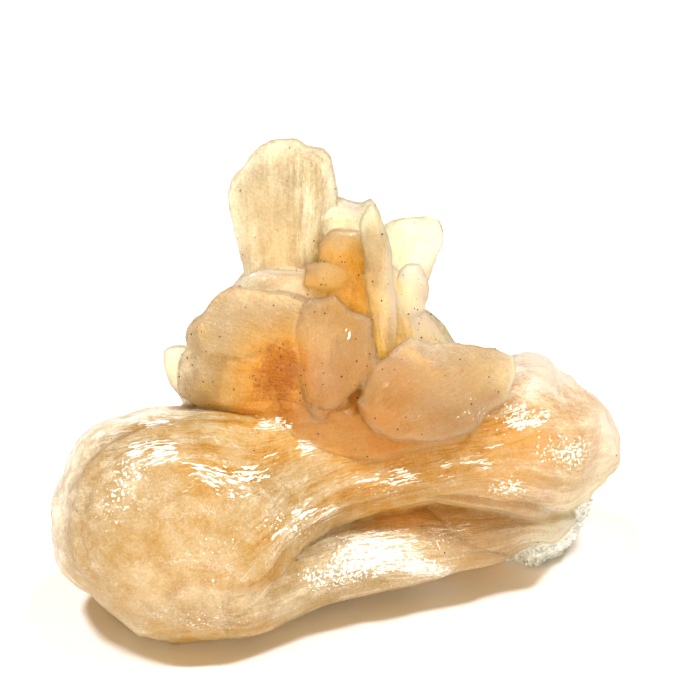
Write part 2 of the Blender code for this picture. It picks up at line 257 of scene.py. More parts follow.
# Painted highlights in streaks, white laid into the colour: across, up, half width, half height, strength
GLINT_SPOTS = (
    (-42, -15.5, 6, 1.3, 1.0), (-16, -16, 6, 2.0, 1.0), (-41.7, -21.5, 6.5, 3.2, 1.2),
    (-32.6, -24.7, 5, 1.5, 0.75), (-26, -27.2, 8, 2.0, 1.0), (-20.2, -25.5, 5, 1.5, 0.95),
    (-16, -22.2, 3, 1.5, 0.8), (-8.9, -21, 3, 2.6, 0.95), (-24.3, -31, 5.5, 1.3, 0.8),
    (-35, -29, 5, 1.6, 0.85), (-46, -29.7, 3, 2, 0.45), (-50, -36, 2.5, 3, 0.4), (-7.6, -34.2, 6, 3, 0.85),
    (-14.3, -39.3, 5, 3, 0.8), (3.2, -27.6, 5.5, 1.3, 0.95), (11, -26, 4, 1.5, 0.8),
    (35.5, -12.5, 3.5, 1.5, 1.0), (42.7, -13.1, 4, 1.2, 0.9), (35.2, -15.6, 4, 2, 1.0),
    (40, -15.3, 3, 1.3, 1.0), (51.8, -14.8, 3.5, 1, 0.5), (30.8, -20.8, 8, 1.2, 0.7),
    (27.7, -23.9, 4.5, 1.5, 1.0), (19.7, -24.2, 3.5, 1.3, 0.8), (11.4, -28, 5, 1.3, 0.8),
    (20.2, -26.7, 4, 1.2, 0.7), (46, -21.7, 6, 3, 0.55), (50.7, -19.2, 4, 2, 0.5),
    (34.1, -28.9, 5, 2, 0.7), (21.3, -37.8, 8, 2, 0.8), (9, -42.3, 9, 5, 0.7), (17.4, -46.7, 8, 2, 0.8),
    (4, -43, 9.5, 4.5, 0.7), (-0.5, 3.5, 1.8, 2.8, 0.9),
)
# Painted highlights in small grains: across, up, half width, half height, strength
SPARKLE_SPOTS = (
    (4, -43.5, 10, 4.5, 0.85), (17, -46.5, 6, 2.5, 0.75), (-2, -48, 8, 2.5, 0.5), (-50, -33, 6, 5, 0.5),
    (-47, -26, 5, 4, 0.55), (-30, -57.5, 10, 3, 0.4), (-9, -50, 6, 4, 0.4), (-14, -37, 9, 4, 0.5),
    (20, -40, 7, 3, 0.5), (-30, -44, 8, 8, 0.35), (-42, -20, 7, 5, 0.25), (46, -22, 8, 5, 0.62),
    (34, -29, 5, 3, 0.55), (-24, 17, 5, 1.5, 0.4), (-18, 16, 4, 1.5, 0.4), (-29, 6, 4, 4, 0.25),
    (25, -13, 5, 3, 0.4), (36, -14, 7, 4, 0.5), (8, -30, 30, 2.5, 0.3), (0, 6, 3, 3, 0.3),
    (-16, 38, 7, 5, 0.15),
)
# Painted light and shade: across, up, half width, half height, share by which a place is painted brighter
# than its zone alone gives, or darker where the share is below 0
PAINTED_LIGHT_SPOTS = (
    (-8, -16, 12, 6, 0.15), (3, -22, 14, 6, 0.2), (41, -17, 12, 13, 0.28), (33, -31, 13, 6, 0.25),
    (12, -36, 9, 3, 0.35), (22, -43, 13, 4, 0.12), (-13, 19, 7, 6, 0.18), (-17, 15, 7, 3, 0.12),
    (7, 8, 3, 8, 0.18), (13, 12, 4, 9, 0.42), (-1, 13, 5, 8, -0.14), (-5, 16, 5, 3, -0.16),
    (-27, 4, 9, 6, -0.1), (-28, -7, 9, 5, -0.1), (-32, -57, 13, 5, -0.14), (5, 26, 3, 6, -0.12),
    (-15, 39, 9, 6, -0.08), (-30, -36, 18, 12, -0.04),
)
# Where dark specks gather: across, up, half width, half height, strength
SPECK_SPOTS = ((-14, -5, 7, 5, 5.0), (-5, 16, 5, 3, 5.0), (14, 10, 3, 7, 3.0), (-18, -41, 8, 3, 4.0))
# Spots are seen from the front, so they fade out between these depths, down to this share
FADE_FROM, FADE_TO, FADED_SHARE = 22, 44, 0.25
# The least painted sparkle, on every crystal
LEAST_SPARKLE = 0.06


def spot_strength(view, spots, flatness=1.0):
    """Adds up spots at places in the view; with more flatness they keep their strength further out."""
    total = np.zeros(len(view))
    for across, up, *size, strength in spots:
        wide, high = (size * 2)[:2]
        square = ((view[:, 0] - across) / wide) ** 2 + ((view[:, 1] - up) / high) ** 2
        total += strength * np.exp(-square ** flatness)
    return total


def colour_zones(points, warmth, thinness):
    """Warmth, glint, thinness and sparkle of each point."""
    view = in_view(points)
    cloud = rough_noise(points / 11, seed=SEED) * 0.07 + rough_noise(points / 3.5, seed=SEED + 5) * 0.03
    depth = (points - EYE) @ INWARD - VIEW_DISTANCE
    shown = 1 - (1 - FADED_SHARE) * smooth_step(depth, FADE_FROM, FADE_TO)
    warm = warmth + (spot_strength(view, WARM_SPOTS) - spot_strength(view, PALE_SPOTS)) * shown + cloud
    glint = spot_strength(view, GLINT_SPOTS, 2.0)
    sparkle = spot_strength(view, SPARKLE_SPOTS, 1.5) + LEAST_SPARKLE
    return np.stack((warm, glint, thinness, sparkle), axis=1)


print(len(WARM_SPOTS), "warm,", len(PALE_SPOTS), "pale and", len(GLINT_SPOTS), "glinting spots")

# %% [markdown]
# ## The sheaf
# Hundreds of fibres fan out from a waist to two rounded lobes. A metaball or sculpted lump would
# lose the fibres' direction, so the sheaf is a loft: sections across it, each with its top, bottom,
# depth and half depth, joined by a smooth curve. Lines that keep their place round the sections are
# the fibres, which close up at the waist and spread at the lobes by themselves.

# %% Sections of the sheaf and its layers
# Across, top, bottom, depth of the middle, half the size in depth
SHEAF = (
    (-63.5, -36.0, -36.0, 1, 0), (-63.0, -31.0, -41.5, 1, 7), (-61.5, -27.5, -47.0, 1, 12),
    (-58.5, -21.5, -50.0, 1, 17), (-54.5, -16.5, -53.0, 2, 20), (-50.0, -14.5, -57.0, 2, 22),
    (-43.5, -12.5, -61.0, 2, 23.5), (-36.0, -12.0, -62.0, 3, 24), (-28.5, -11.5, -62.0, 4, 23.5),
    (-22.5, -12.0, -60.0, 5, 22), (-17.5, -12.5, -54.5, 6, 20.5), (-12.5, -13.0, -46.5, 8, 19),
    (-6.5, -13.5, -40.5, 10, 18), (0.0, -13.5, -37.0, 12, 17.5), (6.5, -13.0, -34.5, 14, 18.5),
    (12.5, -11.5, -33.0, 16, 20), (19.0, -9.5, -32.0, 18, 21.5), (25.0, -6.0, -31.5, 20, 23),
    (30.0, -3.0, -32.5, 22, 24.5), (35.0, -0.5, -34.0, 25, 25), (40.5, -0.5, -35.0, 27, 24),
    (44.5, -4.0, -35.0, 28, 22), (49.0, -8.5, -33.0, 29, 19), (52.0, -10.5, -29.5, 30, 15),
    (54.5, -13.0, -27.0, 30, 11), (56.5, -17.0, -25.0, 31, 6.5), (57.5, -21.0, -21.0, 31, 0),
)
FRONT_LAYER = (
    (-46.0, -50.0, -50.0, 3, 0), (-44.0, -42.0, -57.5, 3, 11), (-36.0, -38.0, -60.0, 3, 15.5),
    (-28.5, -37.0, -61.0, 3, 16.5), (-22.5, -37.0, -61.0, 4, 16.5), (-17.5, -37.0, -59.6, 6, 16.5),
    (-12.5, -36.0, -57.2, 9, 16.5), (-6.5, -34.5, -54.4, 12, 16), (0.0, -33.0, -52.6, 15, 16),
    (6.5, -32.0, -51.0, 17, 15), (12.5, -31.5, -50.0, 19, 15), (19.0, -32.5, -48.8, 21, 13),
    (25.0, -34.0, -47.2, 22, 12), (30.0, -36.0, -45.8, 23, 10), (33.5, -38.0, -44.6, 24, 6),
    (35.5, -41.0, -41.0, 24, 0),
)
RIGHT_LAYER = (
    (4.5, -39.0, -39.0, 20, 0), (8.0, -33.5, -44.0, 20, 8), (15.0, -31.0, -46.5, 22, 11.5),
    (21.0, -30.0, -46.6, 24, 14), (27.5, -30.5, -45.6, 26, 15.2), (33.0, -31.0, -43.8, 27, 15),
    (36.5, -31.5, -41.8, 27, 14), (40.0, -32.0, -41.0, 28, 13), (43.5, -32.5, -41.0, 28, 11),
    (46.0, -33.2, -39.0, 28, 8), (48.0, -35.8, -35.8, 28, 0),
)
THIN_LEDGE = (
    (13.0, -30.5, -30.5, 7, 0), (16.0, -29.5, -31.5, 8, 6), (24.0, -30.0, -33.0, 12, 9),
    (33.0, -31.5, -34.5, 16.8, 10), (40.0, -33.0, -36.0, 21.5, 9), (44.5, -35.0, -35.0, 24, 0),
)
# Along its own axis: distance, height of the middle, half width, half height
REAR_LOBE = (
    (-9, 31, 0, 0), (-6, 31, 9, 8), (3, 29, 14, 13), (12, 25.5, 18, 17), (20, 21, 21, 21),
    (27, 19, 20.5, 21), (32, 18, 17, 17), (35, 18, 11, 11), (36, 18, 0, 0),
)
REAR_ROOT = np.array((2.0, 10.0, 0.0))
REAR_TURN = radians(96)
# The part of a section that faces forward and up, in degrees, and its share of the points
FINE_FROM, FINE_TO, FINE_SHARE = -80, 135, 0.7
# A section is an oval at 2 and squarer above that
SQUARENESS = 2.4
WAIST_ACROSS, WAIST_HALF = 8, 30


def smooth_rows(rows, count):
    """Rows on a smooth curve through the given ones, evenly spaced; the ends close in a dome."""
    table = np.array(rows, dtype=float)
    before, after = table[1].copy(), table[-2].copy()
    before[3:], after[3:] = -before[3:], -after[3:]
    padded = np.vstack((before, table, after))
    place = np.linspace(0, len(table) - 1 - 1e-9, count * 6)
    start = place.astype(int)
    t = (place - start)[:, None]
    a, b, c, d = (padded[start + step] for step in range(4))
    dense = b + 0.5 * t * (c - a + t * (2 * a - 5 * b + 4 * c - d + t * (3 * (b - c) + d - a)))
    travel = np.hypot(np.diff(dense[:, 0]), np.diff(dense[:, 3]))
    reach = np.concatenate(((0,), np.cumsum(travel)))
    wanted = np.linspace(0, reach[-1], count)
    rows = np.stack([np.interp(wanted, reach, column) for column in dense.T], axis=1)
    return rows, wanted


def round_angles(count):
    """Angles round a section, closer together on the side that faces forward and up."""
    fine = int(count * FINE_SHARE)
    coarse = count - fine
    front = np.linspace(radians(FINE_FROM), radians(FINE_TO), fine, endpoint=False)
    back = np.linspace(radians(FINE_TO), radians(FINE_FROM + 360), coarse, endpoint=False)
    return np.concatenate((front, back))


def rounded(value, squareness):
    """A sine or cosine reshaped for a squarer oval."""
    return np.abs(value) ** (2 / squareness) * np.sign(value)


def by_middle(rows):
    """Sections as across, middle, depth, half height and half depth."""
    return [(across, (top + bottom) / 2, depth, (top - bottom) / 2, half)
            for across, top, bottom, depth, half in rows]


def view_loft(rows, count, around, lean=0.0, crisp=0.0):
    """A grid of points on a loft laid out in the view, with its distance along and its angles.

    The top of a section may lean back, and its lower edge may be crisp near the waist.
    """
    smooth, reach = smooth_rows(by_middle(rows), count)
    angles = round_angles(around)
    across, middle, depth, high, deep = (smooth[:, column, None] for column in range(5))
    at_waist = np.exp(-((across - WAIST_ACROSS) / WAIST_HALF) ** 4) * (np.sin(angles) < 0)
    squareness = SQUARENESS + crisp * at_waist * smooth_step(-np.sin(angles), 0, 0.5)
    rise = rounded(np.sin(angles), squareness)
    up = middle + high * rise
    back = depth - deep * rounded(np.cos(angles), squareness) + lean * rise * np.minimum(deep / 10, 1)
    return at_depth(across + 0 * up, up, back), reach, angles


print("sections:", len(SHEAF), "in the sheaf,", len(REAR_LOBE), "in the rear lobe")

# %% [markdown]
# ## Growing the fibres
# The real surface is made of fibre bundles that end in small steps, and of crystal ends on the
# lobes. Raising them in the mesh, and not only in the finish, lets light and outline show them. The
# smallest fibres are finer than the mesh, so those are left to the finish. The numbers below set how
# long, wide and high each kind of relief is.

# %% Fibres, terraces and crystal ends
# Sizes in millimetres: one along the fibres and two across them
BUNDLE_SIZE, STEP_SIZE = (38, 4.6, 4.6), (26, 6, 6)
THREAD_SIZE, TOOTH_SIZE = (15, 1.1, 1.1), (9, 12, 1.6)
# Height of each kind of relief, in millimetres
BUNDLE_RISE, THREAD_RISE, TOOTH_RISE, WAXY_RISE = 0.42, 0.15, 0.7, 0.1
LUMP_RISE, SMALL_LUMP_RISE, GROOVE_DEPTH = 0.6, 0.22, 0.1
# A slope of this height is cut into steps of this height, and that share of them shows
STEP_SLOPE, STEP_RISE, STEP_SHARE = 1.5, 0.42, 0.7
# How far the fibres wander aside, over what length, in millimetres
WANDER, WANDER_SIZE = 2.0, 16
# How much the facets that end the crystals tilt, and how dark the painted shade line at the foot of a
# growth step is
END_TILT, STEP_SHADE_SHARE = 0.8, 0.35
# Sizes of the lumps that have no direction, and of the facets that end the crystals
LUMP_SIZE, SMALL_LUMP_SIZE, WAXY_SIZE, END_SIZE = 13, 5, 2.2, 4.6
# Shares of the light that pass straight through; a clearer place is also painted brighter, partly for its
# paler body and partly for the light that comes through it
SHEAF_CLEAR, RIGHT_CLEARER, BLADE_CLEAR = 0.25, 0.25, 0.7
# Thin clear places of the sheaf: across, up, half width, half height, share added
CLEAR_SPOTS = ((25, -37, 18, 6, 0.25), (8, -26, 16, 7, 0.2))
# One grown crystal or bundle, before all of them are fused
Growth = namedtuple("Growth", "name points faces flow zones marks")


def crystal_ends(points, size, tilt, seed):
    """Flat facets in cells, each tilted its own way, with how near each point is to a cell's edge."""
    scaled = points / size
    low = np.floor(scaled)
    nearest = np.full(len(points), 9.0)
    second = nearest.copy()
    height = np.zeros(len(points))
    for corner in np.ndindex(3, 3, 3):
        cell = low + corner - 1
        jitter = np.stack([lattice(cell, seed + axis) for axis in range(3)], axis=1)
        away = scaled - cell - jitter
        distance = np.linalg.norm(away, axis=1)
        lean = np.stack([lattice(cell, seed + 10 + axis) - 0.5 for axis in range(3)], axis=1)
        rise = (away * lean).sum(axis=1) * tilt + (lattice(cell, seed + 20) - 0.5) * tilt * 0.6
        closer = distance < nearest
        second = np.where(closer, nearest, np.minimum(second, distance))
        nearest = np.where(closer, distance, nearest)
        height = np.where(closer, rise, height)
    return height, smooth_step(second - nearest, 0.0, 0.18)


def grow_surface(name, grid, reach, angles, texture, seed, warmth):
    """A fibrous piece from a grid of points; texture gives the strength of fibres and ends there."""
    rows, around = grid.shape[:2]
    normals = grid_normals(grid).reshape(-1, 3)
    along = np.broadcast_to(reach[:, None], (rows, around))
    flow = np.stack((along, 20 * np.cos(angles) + 0 * along, 20 * np.sin(angles) + 0 * along), axis=-1)
    flow = flow.reshape(-1, 3)
    points = grid.reshape(-1, 3)
    view = in_view(points)
    if name == "crystal_sheaf":
        left, in_left, right, in_right = fan_place(view)
        flow[:, 2] = flow[:, 2] * (1 - in_left - in_right) + left * in_left + right * in_right
    # The fibres wander a little, so that no line of them runs dead straight
    aside = [soft_noise(points / WANDER_SIZE, seed + shift) for shift in (31, 37)]
    flow[:, 1:] += WANDER * np.stack(aside, axis=1)
    fibre, end = texture(points)
    lumps = LUMP_RISE * soft_noise(points / LUMP_SIZE, seed)
    lumps = lumps + SMALL_LUMP_RISE * soft_noise(points / SMALL_LUMP_SIZE, seed + 1)
    waxy = WAXY_RISE * rough_noise(points / WAXY_SIZE, 2, seed + 9)
    bundles = BUNDLE_RISE * soft_noise(flow / BUNDLE_SIZE, seed + 2)
    steps = terraced(STEP_SLOPE * rough_noise(flow / STEP_SIZE, 2, seed + 3), STEP_RISE) * STEP_SHARE
    threads = THREAD_RISE * rough_noise(flow / THREAD_SIZE, 2, seed + 4)
    facets, inside = crystal_ends(points, END_SIZE, END_TILT, seed + 5)
    ends = end * (facets - GROOVE_DEPTH * (1 - inside))
    height = lumps + waxy + fibre * (bundles + steps + threads) + ends
    rise, line = growth_steps(view)
    rim = rim_thinness(view)
    teeth = TOOTH_RISE * rough_noise(flow / TOOTH_SIZE, 2, seed + 6) * rim
    height += rise + teeth
    points = points + normals * height[:, None]
    view = in_view(points)
    clear = SHEAF_CLEAR + RIGHT_CLEARER * smooth_step(view[:, 0], 15, 42)
    clear += spot_strength(view, CLEAR_SPOTS)
    # The third mark is painted shade at the foot of each growth step
    marks = np.stack((fibre, cloud_marks(points), STEP_SHADE_SHARE * line, clear), axis=1)
    zones = colour_zones(points, np.full(len(points), warmth), rim)
    layers = [layer.reshape(rows, around, -1) for layer in (points, flow, zones, marks)]
    # The first and last ring shrink to one point each, which closes the tube
    points, *others = (np.vstack((layer[1:-1].reshape(-1, layer.shape[2]),
                                  layer[1].mean(axis=0), layer[-2].mean(axis=0))) for layer in layers)
    points[:, 2] = np.maximum(points[:, 2], 0)
    count = (rows - 2) * around
    return Growth(name, points, tube_faces(rows - 2, around, count, count + 1), *others)


# Outer growth steps of the lobes, as ovals in the view: across, up, half width, half height, rise, and
# the side of the oval that they show on
STEP_OVALS = ((-37.5, -37.5, 22.0, 21.5, 0.8, -1), (-37, -38, 19.0, 18.6, 0.5, -1),
              (37, -21, 18.4, 17.5, 0.6, 1), (35.5, -20.5, 15.0, 14.5, 0.35, 1))
# Shares of an oval between which its step rises, how far the edge wanders and how wide its painted shade
# line is
EDGE_INNER, EDGE_OUTER, EDGE_WANDER, LINE_WIDTH = 0.98, 1.02, 0.03, 0.014
# On the right lobe the painted shade line is fainter
RIGHT_LINE_SHARE = 0.3
# Ovals of the two pale rims and of the left bulb: across, up, half width, half height
LEFT_RIM_OVAL, RIGHT_RIM_OVAL = (-37.5, -37.5, 26, 25.5), (36, -19, 22, 19)
BULB_OVAL = (-41, -43, 24, 22)


def oval_reach(view, across, up, wide, high):
    """How far out places lie in an oval: 0 in its middle and 1 on its line."""
    return np.hypot((view[:, 0] - across) / wide, (view[:, 1] - up) / high)


def growth_steps(view):
    """How much higher the surface is inside each oval, and a line of painted shade along the foot of each
    step.
    """
    rise, line = np.zeros(len(view)), np.zeros(len(view))
    for across, up, wide, high, step, side in STEP_OVALS:
        x, y = (view[:, 0] - across) / wide, (view[:, 1] - up) / high
        away = np.hypot(x, y) + EDGE_WANDER * soft_noise(np.stack((x * 4, y * 4, 0 * x), axis=1), SEED)
        shown = smooth_step(y + side * x, -0.4, 0.6) * smooth_step(side * x, -0.3, 0.3)
        rise += step * (1 - smooth_step(away, EDGE_INNER, EDGE_OUTER)) * shown
        dark = 1 if side < 0 else RIGHT_LINE_SHARE
        line = np.maximum(line, step * np.exp(-((away - EDGE_OUTER) / LINE_WIDTH) ** 2) * shown * dark)
    return rise, line


def fan_place(view):
    """Where a place lies across the fan of fibres, in millimetres, and how far it is into a lobe."""
    right = np.arctan2(view[:, 1] + 20, view[:, 0] - 10) * 26 - 3
    left = np.arctan2(view[:, 1] + 19, 10 - view[:, 0]) * 36 + 14
    return left, 1 - smooth_step(view[:, 0], -46, -28), right, smooth_step(view[:, 0], 24, 40)


def rim_thinness(view):
    """The pale translucent border of the left lobe and of the right lobe, from 0 to 1; the finish also
    paints it brighter, for the light that shines through it.
    """
    left = oval_reach(view, *LEFT_RIM_OVAL)
    right = oval_reach(view, *RIGHT_RIM_OVAL)
    left_share = smooth_step(left, 0.84, 1.0) * (view[:, 0] < -38)
    return np.maximum(left_share, smooth_step(right, 0.6, 1.0) * smooth_step(view[:, 0], 33, 42))


def sheaf_texture(points):
    """Fibres show most at the waist and along the top, and crystal ends on the two lobes."""
    view = in_view(points)
    bulb = oval_reach(view, *BULB_OVAL)
    fibre = 0.12 + 0.88 * smooth_step(bulb, 0.55, 1.25)
    left = 1 - smooth_step(view[:, 0], -61, -44)
    right = smooth_step(view[:, 0], 38, 53)
    fibre *= (1 - 0.8 * left) * (1 - 0.6 * right)
    return fibre, 0.12 + 0.3 * left + 0.1 * right


def layer_texture(points):
    """The layers are fibrous all over."""
    return np.full(len(points), 0.6), np.full(len(points), 0.15)


def rear_texture(points):
    """The rear lobe has fibres at its root and crystal ends at its far end."""
    end = smooth_step(points[:, 1], 14, 34)
    return 1 - 0.8 * end, 0.2 + 0.6 * end


# Milky clouds inside the crystals: across, up, half width, half height, strength
CLOUDS = (
    (-32, -52, 4, 2.5, 0.9), (-29, -44, 5, 2.5, 0.7), (-22, -53, 4, 2, 0.8), (-11, -51, 3.5, 2, 0.7),
    (-38, -56, 5, 2, 0.5), (-44, -46, 4, 4, 0.4), (-36, -48, 3, 2, 0.5), (-27, -57, 5, 1.6, 0.5),
    (4, -43.5, 11, 5, 0.9), (16, -46, 7, 2.5, 0.6), (-18, -54, 8, 3, 0.5), (21, -40, 8, 3, 0.5),
    (36, -36, 9, 3, 0.5), (-15, 42, 8, 2.5, 0.7), (-20, 29, 4, 8, 0.35), (-27, 6, 7, 4, 0.45),
    (-31, -5, 4, 4, 0.3), (-5, 3, 4, 5, 0.5), (-6, -6, 4, 4, 0.4), (-5, 16, 4, 2, 0.45),
    (22, -7, 9, 6, 0.45), (5.5, 25, 2.5, 5, 0.4), (-8, -14, 2, 2, 0.4),
    (-43.8, -48.4, 3, 1.8, 0.8), (-41, -54.6, 3, 2, 0.8), (-28.5, -53.3, 3, 2, 0.8),
    (-46, -54.2, 2, 1.5, 0.6), (-38.4, -36.8, 6, 3.5, 0.2), (-21.7, -34.2, 6, 3, 0.35),
)


def cloud_marks(points):
    """How milky each place is; noise makes the ovals ragged."""
    view = in_view(points)
    wobble = np.stack((soft_noise(points / 4, 71), soft_noise(points / 4, 72)), axis=1) * 1.6
    return np.clip(spot_strength(view + wobble, CLOUDS), 0, 1)


def rear_loft(count, around):
    """The lobe that fans to the back, level and pointing away."""
    rows = [(along, height, 0, high, wide) for along, height, wide, high in REAR_LOBE]
    smooth, reach = smooth_rows(rows, count)
    angles = round_angles(around)
    ahead = np.array((cos(REAR_TURN), sin(REAR_TURN), 0))
    side = np.array((sin(REAR_TURN), -cos(REAR_TURN), 0))
    grid = (REAR_ROOT + CENTRING + smooth[:, None, 0:1] * ahead + smooth[:, None, 1:2] * VERTICAL
            + (smooth[:, 4, None] * np.cos(angles))[..., None] * side
            + (smooth[:, 3, None] * np.sin(angles))[..., None] * VERTICAL)
    return grid, reach, angles


sheaf_loft = view_loft(SHEAF, 400, 236, crisp=1.6)
growths = [grow_surface("crystal_sheaf", *sheaf_loft, sheaf_texture, SEED, 0.46)]
# Name, sections, rings along it, points round it, lean, warmth
LAYERS = (
    ("front_layer", FRONT_LAYER, 210, 170, 4.0, 0.42), ("right_layer", RIGHT_LAYER, 150, 150, 3.0, 0.42),
    ("thin_ledge", THIN_LEDGE, 120, 90, 0.0, 0.45),
)
for name, rows, count, around, lean, warmth in LAYERS:
    loft = view_loft(rows, count, around, lean)
    growths.append(grow_surface(name, *loft, layer_texture, SEED + count, warmth))
growths.append(grow_surface("rear_lobe", *rear_loft(240, 190), rear_texture, SEED + 3, 0.42))
print("grown:", [growth.name for growth in growths])

# %% [markdown]
# ## The blades of the crown
# Stilbite's free crystals are flat blades, thin at the rim and faceted along their edges. Each blade
# starts from its outline in the view, set on its own tilted plane, so that its front shows exactly
# that outline. Its face rises from each edge at that edge's own slope, which gives the facets. A
# subdivided box would round everything off, and cutting facets with booleans would be slow.

# %% Blade helpers
# Sizes of the relief in millimetres: away from the root, round it, and through the blade
TERRACE_SIZE, FINE_THREAD_SIZE = (15, 5.5, 40), (11, 0.9, 30)
TERRACE_STEP, END_STEP, FINE_THREAD_RISE = 0.34, 0.8, 0.08
# How far an outline strays, and the half thickness of a rim as a share of the thickness
RAGGED, RIM_SHARE = 0.5, 0.09
FACET_COUNT = 4
# The relief starts within this distance of the rim, and over a shorter one the rim is thin and pale, and
# painted brighter for the light through it
RELIEF_FROM_RIM, THIN_FROM_RIM = 1.4, 1.3
# A faint line of painted shade along the rim: its strength and width
PAINTED_RIM_SHADE, PAINTED_RIM_SHADE_WIDTH = 0.55, 0.4
PLAIN_FIBRE = 0.25


def facing(turn, lean):
    """Direction of a face that looks forward, turned to the right and leaned back, in degrees."""
    turned, leaned = radians(turn), radians(lean)
    return np.array((sin(turned) * cos(leaned), -cos(turned) * cos(leaned), sin(leaned)))


def on_plane(outline, middle, normal):
    """Places in space where the sight lines through places in the view meet a plane."""
    outline = np.array(outline, dtype=float)
    ray = outline[:, :1] * RIGHTWARD + outline[:, 1:] * UPWARD + VIEW_DISTANCE * INWARD
    return EYE + ray * (((middle - EYE) @ normal) / (ray @ normal))[:, None]


def even_outline(corners, spacing, seed):
    """Evenly spaced points along a closed outline, slightly ragged as broken crystal edges are."""
    closed = np.vstack((corners, corners[:1]))
    reach = np.concatenate(((0,), np.cumsum(np.linalg.norm(np.diff(closed, axis=0), axis=1))))
    count = int(reach[-1] / spacing)
    wanted = np.linspace(0, reach[-1], count, endpoint=False)
    line = np.stack([np.interp(wanted, reach, column) for column in closed.T], axis=1)
    for _ in range(2):
        line = (np.roll(line, 1, axis=0) + line + np.roll(line, -1, axis=0)) / 3
    middle = corners.mean(axis=0)
    outward = line - middle
    outward /= np.linalg.norm(outward, axis=1, keepdims=True)
    place = np.stack((line[:, 0], line[:, 1], 0 * wanted), axis=1)
    wobble = 0.6 * soft_noise(place / 3.1, seed) + 0.5 * soft_noise(place / 1.2, seed + 1)
    return line + outward * (RAGGED * wobble)[:, None]


def edge_distances(flat, corners):
    """Distance of each point from each side of an outline."""
    start, stop = corners, np.roll(corners, -1, axis=0)
    side = stop - start
    offset = flat[:, None] - start[None]
    share = np.clip((offset * side).sum(axis=2) / (side ** 2).sum(axis=1), 0, 1)
    return np.linalg.norm(offset - share[..., None] * side, axis=2)


def lowest(rises, sharp=16.0):
    """The lowest of several heights, with the edges between them barely rounded."""
    base = rises.min(axis=1)
    return base - np.log(np.exp(-sharp * (rises - base[:, None])).sum(axis=1)) / sharp


def faceted_height(flat, distances, rng, rim, full, facets):
    """Height of a flat face with narrow bevels along its outline and a few broad, gentle facets."""
    rises = [rim + distances * rng.uniform(0.7, 1.9, distances.shape[1]), np.full((len(flat), 1), full)]
    for bearing, start, slope in facets:
        ahead = flat @ (cos(radians(bearing)), sin(radians(bearing)))
        edge = start * np.percentile(ahead, 99)
        rises.append((full - slope * (ahead - edge))[:, None])
    return np.maximum(lowest(np.concatenate(rises, axis=1)), 0.5 * rim)


def area_middle(corners):
    """The middle of an outline's area."""
    x, y = corners.T
    next_x, next_y = np.roll(corners, -1, axis=0).T
    cross = x * next_y - next_x * y
    return np.array((((x + next_x) * cross).sum(), ((y + next_y) * cross).sum())) / (3 * cross.sum())


def random_facets(rng):
    """Bearing, where it starts as a share of the way out, and slope of each broad facet."""
    turn = rng.uniform(0, 360)
    return [(turn + 360 * facet / FACET_COUNT + rng.uniform(-25, 25), rng.uniform(0.1, 0.6),
             rng.uniform(0.08, 0.3)) for facet in range(FACET_COUNT)]


